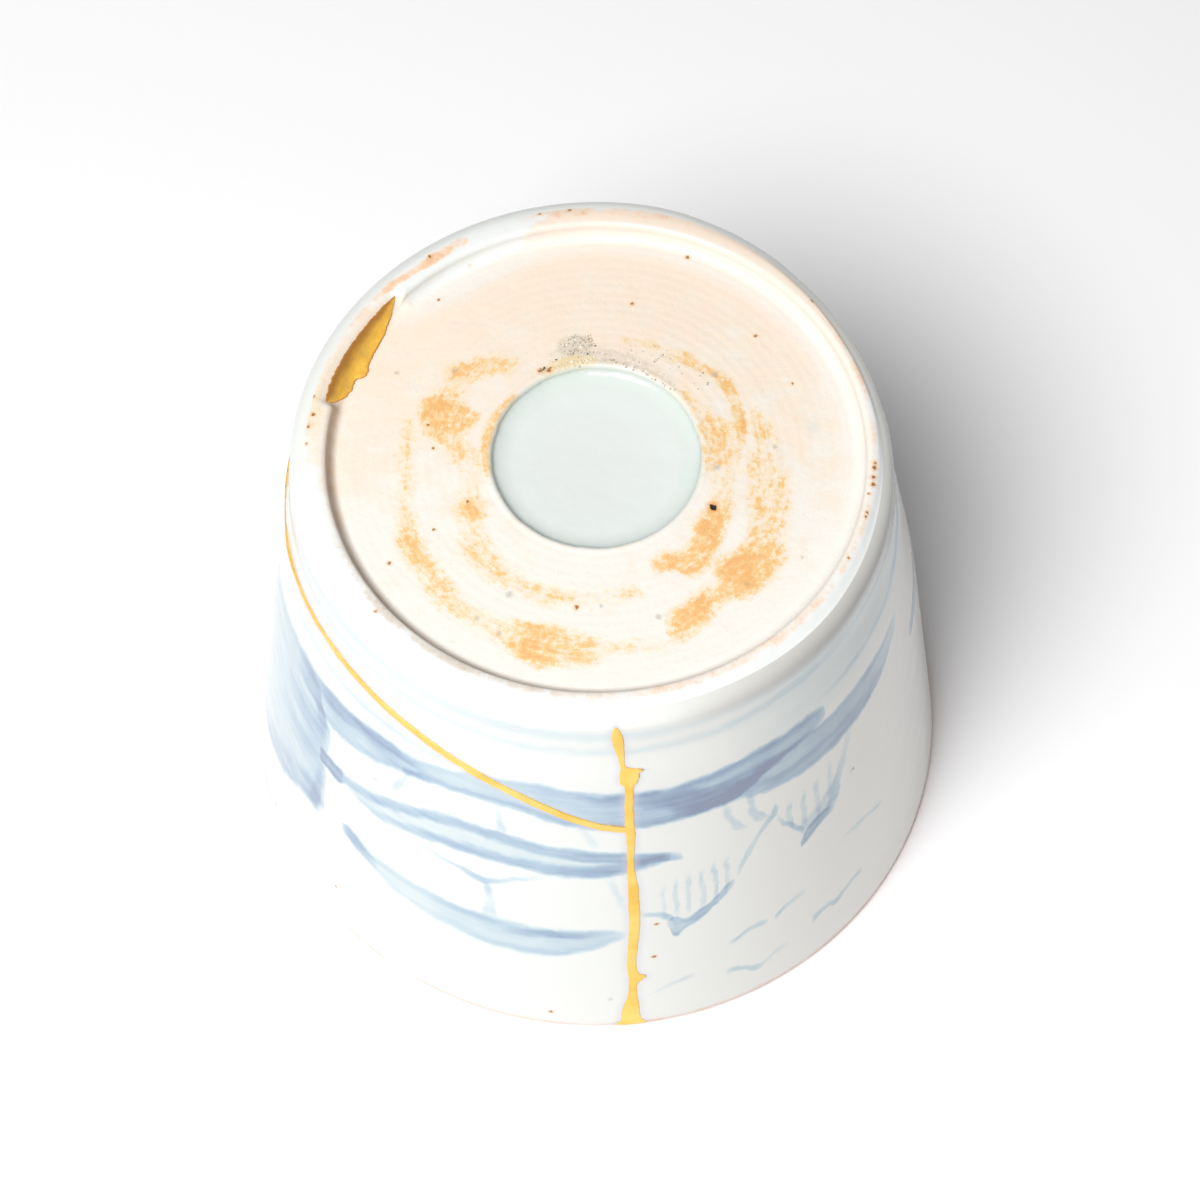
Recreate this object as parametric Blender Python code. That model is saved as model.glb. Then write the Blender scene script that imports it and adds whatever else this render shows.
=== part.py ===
# A porcelain soba cup mended with gold, in metres, +Z up.
# It stands on its mouth, as it is shown when its foot is looked at.
# The origin is the middle of the mouth's plane, and the upright gold seam faces -Y.

import math

import bmesh
import bpy
from mathutils import Vector

MM = 0.001

# Outside of the cup
MOUTH_RADIUS = 40.0 * MM
CUP_HEIGHT = 61.7 * MM
FOOT_WALL_RADIUS = 32.0 * MM
WAIST_DEPTH = 0.3 * MM
WAIST_BELOW_FOOT = 5.0 * MM
WAIST_SPREAD = 2.6 * MM
FOOT_OFF_CENTRE = 0.4 * MM
LIP_ROUND = 1.1 * MM
FOOT_CORNER = 1.2 * MM

# Wall and floor of the hollow
LIP_THICKNESS = 2.9 * MM
WALL_THICKNESS_AT_FLOOR = 4.2 * MM
FLOOR_THICKNESS = 4.0 * MM
HOLLOW_FILLET = 7.0 * MM

# Underside: foot rim, bare ring and glazed well
LAND_WIDTH = 2.05 * MM
RIM_INNER_ROUND = 0.35 * MM
RING_DEPTH = 1.9 * MM
RING_FILLET = 1.3 * MM
RING_RISE = 0.6 * MM
WELL_RADIUS = 10.9 * MM
WELL_DEPTH = 1.2 * MM
WELL_EDGE_ROUND = 0.25 * MM
WELL_DISH = 0.3 * MM

# Gold seams: how wide, how deep in the glaze and how far above it
SEAM_WIDTH = 1.15 * MM
SEAM_DEPTH = 0.22 * MM
SEAM_PROUD = 0.12 * MM
SEAM_SINK_AT_LIP = 0.22 * MM
SEAM_STATION = 3.2 * MM
SEAM_FLARE = 0.6 * MM
SEAM_FLARE_SPREAD = 3.3 * MM
SPUR_REACH = 1.2 * MM
SPUR_SPREAD = 0.7 * MM
SEAM_GAP = 0.3 * MM

# The seam's cross-section, as shares of its reach to a side and of its depth
CREST_SHARE = 0.55
KEEL_SHARE = 0.7
EDGE_DEPTH_SHARE = 0.15
SEAM_END_SHARE = 0.45

# Gold fill of the chip inside the foot rim
FILL_FROM = math.radians(-133.0)
FILL_TO = math.radians(-102.0)
FILL_REACH = 4.6 * MM
FILL_TIP = 0.8 * MM
FILL_JAG = 0.35 * MM
FILL_JAG_TURN = 19.0
FILL_FULLNESS = 0.7
FILL_SLANT = 0.35
FILL_SUNK = 0.1 * MM
FILL_THICKNESS = 0.5 * MM
FILL_STEPS = 14
FILL_COLUMNS = 7

# How finely the round stretches are divided
TURNS = 60
WALL_STEPS = 4
HOLLOW_STEPS = 3
ARC_STEPS = 3
FILLET_STEPS = 4
RIM_ROUND_STEPS = 2
ROUTE_STEPS = 12

# How far a cutter stands above the skin, and how close two points count as one
CUT_ABOVE = 0.6 * MM
MERGE = 0.001 * MM
SHARP_FROM = math.radians(32.0)

# Finishes: colour, roughness and metallic value
GLAZE_FINISH = ((0.83, 0.86, 0.86), 0.12, 0.0)
GOLD_FINISH = ((0.83, 0.53, 0.13), 0.32, 1.0)

# Seam routes: angle from the front in degrees, and height as a share of the cup's height
UPRIGHT_ROUTE = (
    (3.4, 0.965), (4.3, 0.90), (5.9, 0.825), (5.5, 0.74), (5.5, 0.64), (5.9, 0.52),
    (6.0, 0.38), (5.7, 0.24), (5.3, 0.11), (5.1, 0.035),
)
UPRIGHT_SPURS = (0.843, 0.185)
SIDE_ROUTE = (
    (5.2, 0.668), (-2.6, 0.699), (-11.5, 0.750), (-20.9, 0.794), (-32.0, 0.825),
    (-45.0, 0.850), (-62.0, 0.864), (-82.0, 0.852), (-100.0, 0.838), (-120.0, 0.815),
    (-138.0, 0.745), (-150.0, 0.610), (-157.0, 0.430), (-161.0, 0.230), (-163.0, 0.035),
)
INSIDE_SHARE = 0.93


def clear_scene():
    for item in list(bpy.data.objects):
        bpy.data.objects.remove(item, do_unlink=True)


def arc(centre_r, centre_z, radius, start, end, steps):
    """Profile points on an arc, with its angles in degrees from +r towards +z."""
    points = []
    for i in range(steps + 1):
        turn = math.radians(start + (end - start) * i / steps)
        points.append((centre_r + radius * math.cos(turn), centre_z + radius * math.sin(turn)))
    return points


def outer_radius(height):
    """The outer wall's radius: a straight taper with a faint waist under the foot."""
    high = CUP_HEIGHT - FOOT_CORNER
    share = (height - LIP_ROUND) / (high - LIP_ROUND)
    away = (high - WAIST_BELOW_FOOT - height) / WAIST_SPREAD
    waist = WAIST_DEPTH * math.exp(-away * away)
    return MOUTH_RADIUS + (FOOT_WALL_RADIUS - MOUTH_RADIUS) * share - waist


def ring_floor_height(radius):
    """The bare ring's floor rises a little from the rim to the well."""
    outside = land_inner_radius()
    share = (outside - radius) / (outside - WELL_RADIUS)
    return CUP_HEIGHT - RING_DEPTH + RING_RISE * share


def land_inner_radius():
    return FOOT_WALL_RADIUS - FOOT_CORNER - LAND_WIDTH


def well_floor_height():
    return ring_floor_height(WELL_RADIUS) - WELL_DEPTH


def hollow_top():
    return well_floor_height() - WELL_DISH - FLOOR_THICKNESS


def hollow_radius(height):
    """The hollow's wall, straight from the lip's thickness to the thickness at the floor."""
    low = MOUTH_RADIUS - LIP_THICKNESS
    high = outer_radius(hollow_top()) - WALL_THICKNESS_AT_FLOOR
    return low + (high - low) * height / hollow_top()


def outside_wall():
    """From the middle of the lip's flat, round the lip and up to the foot's corner."""
    lip_middle = MOUTH_RADIUS - LIP_THICKNESS / 2
    points = [(lip_middle, 0.0)]
    points += arc(MOUTH_RADIUS - LIP_ROUND, LIP_ROUND, LIP_ROUND, -90, 0, ARC_STEPS)
    waist = CUP_HEIGHT - FOOT_CORNER - WAIST_BELOW_FOOT
    heights = [LIP_ROUND + (waist - LIP_ROUND) * i / WALL_STEPS for i in range(1, WALL_STEPS)]
    heights += [waist - WAIST_SPREAD, waist, waist + WAIST_SPREAD]
    return points + [(outer_radius(height), height) for height in heights]


def rim_inside():
    """From the land's inner edge down the rim's inner wall to the ring's floor."""
    edge = land_inner_radius()
    floor = ring_floor_height(edge)
    points = arc(edge, CUP_HEIGHT - RIM_INNER_ROUND, RIM_INNER_ROUND, 90, 180, RIM_ROUND_STEPS)
    wall = edge - RIM_INNER_ROUND
    points += arc(wall - RING_FILLET, floor + RING_FILLET, RING_FILLET, 0, -90, FILLET_STEPS)
    return points


def underside():
    """From the top of the outer wall over the foot to the middle of the well."""
    high = CUP_HEIGHT - FOOT_CORNER
    points = arc(outer_radius(high) - FOOT_CORNER, high, FOOT_CORNER, 0, 90, ARC_STEPS)
    points += rim_inside()
    well_top = ring_floor_height(WELL_RADIUS)
    halfway = (land_inner_radius() + WELL_RADIUS) / 2
    points.append((halfway, ring_floor_height(halfway)))
    points += arc(WELL_RADIUS + WELL_EDGE_ROUND, well_top - WELL_EDGE_ROUND,
                  WELL_EDGE_ROUND, 90, 180, RIM_ROUND_STEPS)
    fillet = WELL_DEPTH - WELL_EDGE_ROUND
    points += arc(WELL_RADIUS - fillet, well_floor_height() + fillet,
                  fillet, 0, -90, ARC_STEPS)[1:]
    for share in (0.5, 0.0):
        dish = WELL_DISH * (1.0 - share * share)
        points.append((WELL_RADIUS * share, well_floor_height() - dish))
    return points


def inside_wall():
    """From the middle of the lip's flat up the hollow's wall to its floor's middle."""
    top = hollow_top()
    lip_inner = MOUTH_RADIUS - LIP_THICKNESS
    points = [(MOUTH_RADIUS - LIP_THICKNESS / 2, 0.0)]
    points += arc(lip_inner + LIP_ROUND, LIP_ROUND, LIP_ROUND, -90, -180, ARC_STEPS)
    start = top - HOLLOW_FILLET
    for i in range(1, HOLLOW_STEPS):
        height = LIP_ROUND + (start - LIP_ROUND) * i / HOLLOW_STEPS
        points.append((hollow_radius(height), height))
    points += arc(hollow_radius(start) - HOLLOW_FILLET, start, HOLLOW_FILLET, 0, 90, FILLET_STEPS)
    points.append((0.0, top))
    return points


def point_along(line, distance):
    """The place and the unit direction at a distance along a profile line."""
    left = distance
    for (r0, z0), (r1, z1) in zip(line, line[1:]):
        length = math.hypot(r1 - r0, z1 - z0)
        if length == 0.0:
            continue
        direction = ((r1 - r0) / length, (z1 - z0) / length)
        if left <= length:
            return (r0 + direction[0] * left, z0 + direction[1] * left), direction
        left -= length
    return line[-1], direction


def way_out(line, distance, reach):
    """The direction out of a profile line, eased over its corners within a reach."""
    before = point_along(line, max(distance - reach, 0.0))[0]
    after = point_along(line, distance + reach)[0]
    dr = after[0] - before[0]
    dz = after[1] - before[1]
    length = math.hypot(dr, dz)
    return dz / length, -dr / length


def distance_at_height(line, height):
    """How far along a rising profile line a height is reached."""
    walked = 0.0
    for (r0, z0), (r1, z1) in zip(line, line[1:]):
        length = math.hypot(r1 - r0, z1 - z0)
        if z0 <= height <= z1 and z1 > z0:
            return walked + length * (height - z0) / (z1 - z0)
        walked += length
    return walked


def lean(height):
    """The foot stands a little off the mouth's middle."""
    return FOOT_OFF_CENTRE * (height / CUP_HEIGHT) ** 2


def place(angle, radius, height):
    """A point in space; angle 0 is the front, and it grows towards +X."""
    return Vector((
        radius * math.sin(angle) + lean(height),
        -radius * math.cos(angle),
        height,
    ))


def smooth(points, steps):
    """A smooth curve through points of two numbers each."""
    ends = [points[0]] + list(points) + [points[-1]]
    result = []
    for a, b, c, d in zip(ends, ends[1:], ends[2:], ends[3:]):
        for i in range(steps):
            t = i / steps
            result.append(tuple(
                0.5 * (2 * q + (r - p) * t + (2 * p - 5 * q + 4 * r - s) * t * t
                       + (3 * q - p - 3 * r + s) * t * t * t)
                for p, q, r, s in zip(a, b, c, d)
            ))
    result.append(tuple(points[-1]))
    return result


def skin(angle, run):
    """A point on the cup's skin and the way out of it.

    The run is the distance from the lip's flat, up the outside if it is above
    zero and up the hollow if it is below.
    """
    if run >= 0.0:
        (radius, height), (dr, dz) = point_along(outside_wall() + underside(), run)
        normal = (dz, -dr)
    else:
        (radius, height), (dr, dz) = point_along(inside_wall(), -run)
        normal = (-dz, dr)
    out = Vector((normal[0] * math.sin(angle), -normal[0] * math.cos(angle), normal[1]))
    return place(angle, radius, height), out


def outside_runs(route):
    """A route's angles with its distance up the outside."""
    line = outside_wall() + underside()
    return [
        (math.radians(angle), distance_at_height(line, share * CUP_HEIGHT))
        for angle, share in smooth(route, ROUTE_STEPS)
    ]


def inside_runs(route):
    """The same route seen through the wall, with its distance up the hollow."""
    line = inside_wall()
    reach = hollow_top() - HOLLOW_FILLET / 2
    return [
        (math.radians(angle), -distance_at_height(line, share * reach * INSIDE_SHARE))
        for angle, share in smooth(route, ROUTE_STEPS)
    ]


def over_the_lip(angle):
    """Stations from the outside, under the lip's flat, to the inside."""
    flat = LIP_THICKNESS / 2 - LIP_ROUND
    turn = LIP_ROUND * math.pi / 2
    outer = (flat + turn, flat + turn / 2, flat)
    runs = outer + (0.0,) + tuple(-run for run in reversed(outer))
    return [(math.radians(angle), run) for run in runs]


def evenly(stations, spurs):
    """Drops stations closer than the seam's spacing, which is finer at the lip and spurs."""
    lip_zone = LIP_THICKNESS / 2 + LIP_ROUND
    kept = [stations[0]]
    for angle, run in stations[1:-1]:
        away = (skin(angle, run)[0] - skin(*kept[-1])[0]).length
        near_spur = any(abs(run - spur) < 3 * SPUR_SPREAD for spur in spurs)
        spacing = SPUR_SPREAD / 2 if near_spur else SEAM_STATION
        if abs(run) < lip_zone or away >= spacing:
            kept.append((angle, run))
    end = skin(*stations[-1])[0]
    if (end - skin(*kept[-1])[0]).length < SEAM_STATION / 2:
        kept.pop()
    kept.append(stations[-1])
    return kept


def bump(away, spread):
    return math.exp(-(away / spread) ** 2)


def seam_sides(run, spurs, end_share):
    """The seam's reach to its two sides, with its spurs and its flare at the lip."""
    half = SEAM_WIDTH / 2 * end_share
    flare = SEAM_FLARE * bump(run, SEAM_FLARE_SPREAD) if run > 0.0 else 0.0
    left = half + flare
    right = half + flare
    for spur in spurs:
        right += SPUR_REACH * bump(run - spur, SPUR_SPREAD)
    return left, right


def seam_section(left, right, top, bottom):
    """The seam's cross-section: sideways, and out of the skin."""
    edge = EDGE_DEPTH_SHARE * bottom
    return (
        (-left, edge),
        (-CREST_SHARE * left, top),
        (CREST_SHARE * right, top),
        (right, edge),
        (KEEL_SHARE * right, bottom),
        (-KEEL_SHARE * left, bottom),
    )


def sweep_seam(name, stations, spurs, gap):
    """Sweeps a seam along its stations on the skin, larger all round by the gap."""
    places = [skin(angle, run) for angle, run in stations]
    last = len(stations) - 1
    mesh = bmesh.new()
    rings = []
    for i, (angle, run) in enumerate(stations):
        centre, out = places[i]
        ahead = places[min(i + 1, last)][0] - places[max(i - 1, 0)][0]
        along = (ahead - out * ahead.dot(out)).normalized()
        side = out.cross(along).normalized()
        if i == 0:
            centre = centre - along * gap
        if i == last:
            centre = centre + along * gap
        end_share = SEAM_END_SHARE if i in (0, last) else 1.0
        left, right = seam_sides(run, spurs, end_share)
        sink = SEAM_SINK_AT_LIP * bump(run, LIP_THICKNESS)
        top = SEAM_PROUD - sink
        bottom = -SEAM_DEPTH - sink - gap
        if gap > 0.0:
            top = CUT_ABOVE
        section = seam_section(left + gap, right + gap, top, bottom)
        rings.append([mesh.verts.new(centre + side * u + out * v) for u, v in section])
    for ring, following in zip(rings, rings[1:]):
        for k in range(len(ring)):
            n = (k + 1) % len(ring)
            mesh.faces.new((ring[k], ring[n], following[n], following[k]))
    mesh.faces.new(rings[0])
    mesh.faces.new(list(reversed(rings[-1])))
    return finish_mesh(name, mesh)


def fill_reach(share):
    """How far the gold fill reaches from the land's edge, ragged along its length."""
    swell = max(math.sin(math.pi * share), 0.0) ** FILL_FULLNESS
    jag = FILL_JAG * math.sin(FILL_JAG_TURN * share) * swell
    slant = 1.0 - FILL_SLANT * (1.0 - share)
    return FILL_TIP + (FILL_REACH - FILL_TIP) * swell * slant + jag


def fill_block(name, gap):
    """The gold fill on the rim's inner wall and floor, larger all round by the gap."""
    below_edge = rim_inside()[RIM_ROUND_STEPS:]
    line = below_edge + [(WELL_RADIUS, ring_floor_height(WELL_RADIUS))]
    span = FILL_TO - FILL_FROM
    margin = gap / land_inner_radius()
    mesh = bmesh.new()
    upper = []
    lower = []
    for i in range(FILL_STEPS + 1):
        share = i / FILL_STEPS
        angle = FILL_FROM - margin + (span + 2 * margin) * share
        reach = fill_reach(share) + gap
        start = SEAM_GAP - gap
        tops = []
        bottoms = []
        for k in range(FILL_COLUMNS + 1):
            run = start + (reach - start) * k / FILL_COLUMNS
            radius, height = point_along(line, run)[0]
            normal = way_out(line, run, RING_FILLET / 2)
            top = -FILL_SUNK
            bottom = -FILL_SUNK - FILL_THICKNESS - gap
            if gap > 0.0:
                top = CUT_ABOVE
            for offset, group in ((top, tops), (bottom, bottoms)):
                group.append(mesh.verts.new(place(
                    angle, radius + normal[0] * offset, height + normal[1] * offset)))
        upper.append(tops)
        lower.append(bottoms)
    close_slab(mesh, upper, lower)
    return finish_mesh(name, mesh)


def close_slab(mesh, upper, lower):
    """Faces of a slab from two grids of vertices of the same size."""
    rows = len(upper)
    columns = len(upper[0])
    for i in range(rows - 1):
        for k in range(columns - 1):
            mesh.faces.new((upper[i][k], upper[i][k + 1], upper[i + 1][k + 1], upper[i + 1][k]))
            mesh.faces.new((lower[i][k], lower[i + 1][k], lower[i + 1][k + 1], lower[i][k + 1]))
    for i in range(rows - 1):
        for k in (0, columns - 1):
            mesh.faces.new((upper[i][k], upper[i + 1][k], lower[i + 1][k], lower[i][k]))
    for k in range(columns - 1):
        for i in (0, rows - 1):
            mesh.faces.new((upper[i][k], upper[i][k + 1], lower[i][k + 1], lower[i][k]))


def finish_mesh(name, mesh):
    """Turns a closed bmesh into an object with its faces pointing out."""
    bmesh.ops.recalc_face_normals(mesh, faces=mesh.faces[:])
    if mesh.calc_volume(signed=True) < 0.0:
        bmesh.ops.reverse_faces(mesh, faces=mesh.faces[:])
    data = bpy.data.meshes.new(name)
    mesh.to_mesh(data)
    mesh.free()
    thing = bpy.data.objects.new(name, data)
    bpy.context.scene.collection.objects.link(thing)
    return thing


def turned_cup(name):
    """Spins the cup's whole section round the axis."""
    section = list(reversed(inside_wall())) + outside_wall()[1:] + underside()
    mesh = bmesh.new()
    verts = [mesh.verts.new((0.0, -radius, height)) for radius, height in section]
    edges = [mesh.edges.new(pair) for pair in zip(verts, verts[1:])]
    bmesh.ops.spin(mesh, geom=verts + edges, cent=(0, 0, 0), axis=(0, 0, 1),
                   angle=math.tau, steps=TURNS, use_merge=True)
    bmesh.ops.remove_doubles(mesh, verts=mesh.verts[:], dist=MERGE)
    bmesh.ops.dissolve_degenerate(mesh, edges=mesh.edges[:], dist=MERGE)
    for vert in mesh.verts:
        vert.co.x += lean(vert.co.z)
    return finish_mesh(name, mesh)


def boolean(target, tool, operation):
    modifier = target.modifiers.new(tool.name, "BOOLEAN")
    modifier.operation = operation
    modifier.solver = "EXACT"
    modifier.object = tool
    tool.hide_render = True
    tool.display_type = "WIRE"


def material(name, colour, roughness, metallic):
    made = bpy.data.materials.new(name)
    made.use_nodes = True
    shader = made.node_tree.nodes["Principled BSDF"]
    shader.inputs["Base Color"].default_value = (*colour, 1.0)
    shader.inputs["Roughness"].default_value = roughness
    shader.inputs["Metallic"].default_value = metallic
    return made


def dress(thing, finish):
    thing.data.materials.append(finish)
    thing.data.shade_smooth()
    thing.data.set_sharp_from_angle(angle=SHARP_FROM)


def seam_routes():
    """The two seams' stations: the upright one, and the one that runs round the side."""
    upright_angle = UPRIGHT_ROUTE[-1][0]
    side_angle = SIDE_ROUTE[-1][0]
    upright = outside_runs(UPRIGHT_ROUTE) + over_the_lip(upright_angle)
    upright += list(reversed(inside_runs(UPRIGHT_ROUTE)))
    side = outside_runs(SIDE_ROUTE) + over_the_lip(side_angle)
    side += list(reversed(inside_runs(SIDE_ROUTE)))
    line = outside_wall() + underside()
    spurs = [distance_at_height(line, share * CUP_HEIGHT) for share in UPRIGHT_SPURS]
    return (evenly(upright, spurs), spurs), (evenly(side, []), [])


def build():
    clear_scene()
    glaze = material("porcelain glaze", *GLAZE_FINISH)
    gold = material("gold on lacquer", *GOLD_FINISH)

    cup = turned_cup("porcelain_cup")
    upright, side = seam_routes()
    for label, (stations, spurs) in (("upright", upright), ("side", side)):
        cutter = sweep_seam("cut_" + label, stations, spurs, SEAM_GAP)
        boolean(cup, cutter, "DIFFERENCE")
    boolean(cup, fill_block("cut_chip", SEAM_GAP), "DIFFERENCE")
    dress(cup, glaze)

    seam = sweep_seam("gold_seam", *upright, 0.0)
    branch = sweep_seam("side_branch", *side, 0.0)
    boolean(seam, branch, "UNION")
    dress(seam, gold)
    dress(fill_block("gold_foot_fill", 0.0), gold)


build()
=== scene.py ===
import math

import bmesh
import bpy
from mathutils import Matrix, Vector


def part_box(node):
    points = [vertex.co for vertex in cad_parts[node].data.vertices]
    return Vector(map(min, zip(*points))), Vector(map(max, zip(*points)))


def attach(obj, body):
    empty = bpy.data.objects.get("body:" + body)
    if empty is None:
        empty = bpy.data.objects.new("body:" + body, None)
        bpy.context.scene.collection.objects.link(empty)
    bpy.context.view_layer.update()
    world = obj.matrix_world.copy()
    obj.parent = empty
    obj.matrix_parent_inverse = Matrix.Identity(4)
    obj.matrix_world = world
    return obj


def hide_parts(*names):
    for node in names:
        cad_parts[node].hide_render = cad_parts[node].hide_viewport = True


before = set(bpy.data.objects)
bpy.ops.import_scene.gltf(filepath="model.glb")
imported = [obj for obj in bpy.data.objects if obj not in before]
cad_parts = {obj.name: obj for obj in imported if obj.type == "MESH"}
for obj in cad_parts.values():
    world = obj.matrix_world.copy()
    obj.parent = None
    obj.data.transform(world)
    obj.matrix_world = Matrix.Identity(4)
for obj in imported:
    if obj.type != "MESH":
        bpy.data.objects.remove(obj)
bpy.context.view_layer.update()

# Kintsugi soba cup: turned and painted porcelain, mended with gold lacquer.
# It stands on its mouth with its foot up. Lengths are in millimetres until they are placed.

mm = 0.001
lowCorner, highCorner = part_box("porcelain_cup")
mouthRadius = (highCorner.x - lowCorner.x) / 2 / mm
cupHeight = highCorner.z / mm
print("frame loaded: mouth radius", round(mouthRadius, 2), "height", round(cupHeight, 2))


# Nodes and colours

def colour(hexText):
    # sRGB hex to linear, with alpha
    parts = [int(hexText[i:i + 2], 16) / 255 for i in (1, 3, 5)]
    return [p / 12.92 if p <= 0.04045 else ((p + 0.055) / 1.055) ** 2.4 for p in parts] + [1.0]


def add(tree, kind, *ordered, inputs=None, out=0, stops=None, curves=None, **settings):
    # Adds a node with its settings and links and gives back one output.
    # A word after the dot is the node's operation; ordered values fill its first inputs.
    name, _, operation = kind.partition(".")
    prefixes = ("GeometryNode", "FunctionNode", "ShaderNode") if tree.type == "GEOMETRY" else ("ShaderNode",)
    made = tree.nodes.new(next(p + name for p in prefixes if hasattr(bpy.types, p + name)))
    if operation:
        made.operation = operation
    for key, value in settings.items():
        setattr(made, key, value)
    for key, value in list(enumerate(ordered)) + list((inputs or {}).items()):
        if isinstance(value, bpy.types.NodeSocket):
            tree.links.new(value, made.inputs[key])
        elif value is not None:
            made.inputs[key].default_value = value
    if stops:
        ramp = made.color_ramp.elements
        for i, (place, hexText) in enumerate(stops):
            stop = ramp[i] if i < 2 else ramp.new(place)
            stop.position = place
            stop.color = colour(hexText)
    for curve, points in zip(made.mapping.curves if curves else (), curves or ()):
        curve.points[0].location = points[0]
        curve.points[1].location = points[-1]
        for point in points[1:-1]:
            curve.points.new(*point)
    if curves:
        made.mapping.update()
    return made.outputs[out] if len(made.outputs) else made


def newMaterial(name):
    made = bpy.data.materials.new(name)
    made.use_nodes = True
    made.node_tree.nodes.clear()
    return made, made.node_tree


# The cup's section: one profile, turned

cup = {
    "footWallRadius": 32.0,
    "waistDepth": 0.3, "waistBelowFoot": 5.0, "waistSpread": 2.6,
    "footOffCentre": 0.4,
    "lipRound": 1.1,
    "footCorner": 1.5, "footCornerReach": 2.7,      # the foot's outer corner is a flat oval
    "lipThickness": 2.9, "wallAtFloor": 4.2, "floorThickness": 4.0, "hollowFillet": 7.0,
    "landEdge": 28.75, "rimInnerRound": 0.6,
    "ringDepth": 1.9, "ringFillet": 1.25, "ringRise": 0.6,
    "wellRadius": 10.9, "wellDepth": 1.2, "wellEdgeRound": 0.45, "wellReach": 2.3, "wellDish": 0.3,
    "glazeBead": 0.03,         # the rolled edge of the glaze round the well
    "turningRidge": 0.012,      # height of the ridges that the turning tool left in the bare ring
    "ridgeSpacing": 1.1,
    "wallStep": 1.5, "ringStep": 0.3,
    "turns": 480,
    "edgeWander": 0.08,        # how far the well's edge and the land's edge stray from true circles
    "footWander": 0.18,
    "lipDip": 0.16,            # how deep the lip is notched under each seam
    "seamAngles": (5.2, -163.0),
    # The foot is worn on the right: how far its edge stands in and how far it drops, by angle
    "wornIn": [(0, 0.0), (35, 0.0), (60, 0.30), (80, 0.75), (95, 1.15), (112, 1.40), (128, 1.25), (142, 0.80),
               (158, 0.30), (172, 0.0), (360, 0.0)],
    "wornDrop": [(0, 0.0), (18, 0.05), (32, 0.30), (55, 0.50), (80, 0.40), (110, 0.20), (150, 0.0), (360, 0.0)],
}
landEdge = cup["landEdge"]


fill = {
    "from": -133.2, "to": -102.5,
    "proud": 0.14, "keel": 0.35,
    "ragged": 0.16, "raggedGrain": 0.8,
    "columns": 150, "sides": 40,
    # The chip's section, from the land down to the ring's floor
    "section": [(29.95, 61.60), (29.55, 61.50), (29.1, 61.20), (28.75, 60.80), (28.45, 60.40), (28.0, 60.08),
                (27.4, 59.94), (26.6, 59.92), (25.8, 59.94)],
    # Along the chip: how far the gold starts down the section and how far it reaches, in millimetres
    "start": [(0.0, 1.05), (0.35, 0.95), (0.60, 0.85), (0.85, 0.75), (1.0, 0.95)],
    "reach": [(0.0, 1.15), (0.05, 1.60), (0.11, 2.2), (0.19, 2.8), (0.31, 3.4), (0.43, 3.6), (0.55, 3.8),
              (0.64, 4.15), (0.68, 3.95), (0.72, 3.35), (0.80, 3.40), (0.87, 3.05), (0.94, 2.2), (1.0, 1.05)],
}


def arc(centreR, centreZ, radius, start, end, steps, tall=None):
    turns = [math.radians(start + (end - start) * i / steps) for i in range(steps + 1)]
    return [(centreR + radius * math.cos(t), centreZ + (tall or radius) * math.sin(t)) for t in turns]


def wallRadius(height):
    high = cupHeight - cup["footCorner"]
    share = (height - cup["lipRound"]) / (high - cup["lipRound"])
    away = (high - cup["waistBelowFoot"] - height) / cup["waistSpread"]
    taper = (cup["footWallRadius"] - mouthRadius) * share
    return mouthRadius + taper - cup["waistDepth"] * math.exp(-away * away)


def ringFloor(radius):
    share = (landEdge - radius) / (landEdge - cup["wellRadius"])
    return cupHeight - cup["ringDepth"] + cup["ringRise"] * share


wellFloor = ringFloor(cup["wellRadius"]) - cup["wellDepth"]
hollowTop = wellFloor - cup["wellDish"] - cup["floorThickness"]
lipMiddle = mouthRadius - cup["lipThickness"] / 2


def between(start, end, step):
    # Even heights or radii inside a stretch, without its ends
    count = max(round(abs(end - start) / step), 1)
    return [start + (end - start) * i / count for i in range(1, count)]


def outsideLine():
    # From the middle of the lip's flat, up the wall, over the foot to the middle of the well
    lip = cup["lipRound"]
    corner = cup["footCorner"]
    high = cupHeight - corner
    line = [(lipMiddle, 0.0)]
    line += arc(mouthRadius - lip, lip, lip, -90, 0, 10)
    line += [(wallRadius(z), z) for z in between(lip, high, cup["wallStep"])]
    landTop = wallRadius(high) - cup["footCornerReach"]
    line += arc(landTop, high, cup["footCornerReach"], 0, 90, 14, tall=corner)
    line += [(r, cupHeight) for r in between(landTop, landEdge, 0.5)]
    innerRound = cup["rimInnerRound"]
    line += arc(landEdge, cupHeight - innerRound, innerRound, 90, 180, 5)
    fillet = cup["ringFillet"]
    wall = landEdge - innerRound
    line += arc(wall - fillet, ringFloor(landEdge) + fillet, fillet, 0, -90, 9)
    bead = cup["wellRadius"] + 0.9
    for r in between(wall - fillet, bead, cup["ringStep"]):
        ridge = cup["turningRidge"] * math.sin(math.tau * r / cup["ridgeSpacing"])
        line.append((r, ringFloor(r) + ridge))
    top = ringFloor(cup["wellRadius"])
    line.append((bead, ringFloor(bead)))
    edge = cup["wellEdgeRound"]
    line += [(cup["wellRadius"] + edge + 0.3, top + cup["glazeBead"] * 0.6),
             (cup["wellRadius"] + edge + 0.1, top + cup["glazeBead"])]
    line += arc(cup["wellRadius"] + edge, top - edge + cup["glazeBead"], edge, 90, 180, 5)
    bowl = cup["wellDepth"] - edge
    last = cup["wellRadius"] - cup["wellReach"]
    line += arc(last, wellFloor + bowl, cup["wellReach"], 0, -90, 10, tall=bowl)
    for r in between(last, 0.0, 1.2):
        line.append((r, wellFloor - cup["wellDish"] * (1 - (r / last) ** 2)))
    line.append((0.0, wellFloor - cup["wellDish"]))
    return line


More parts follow.
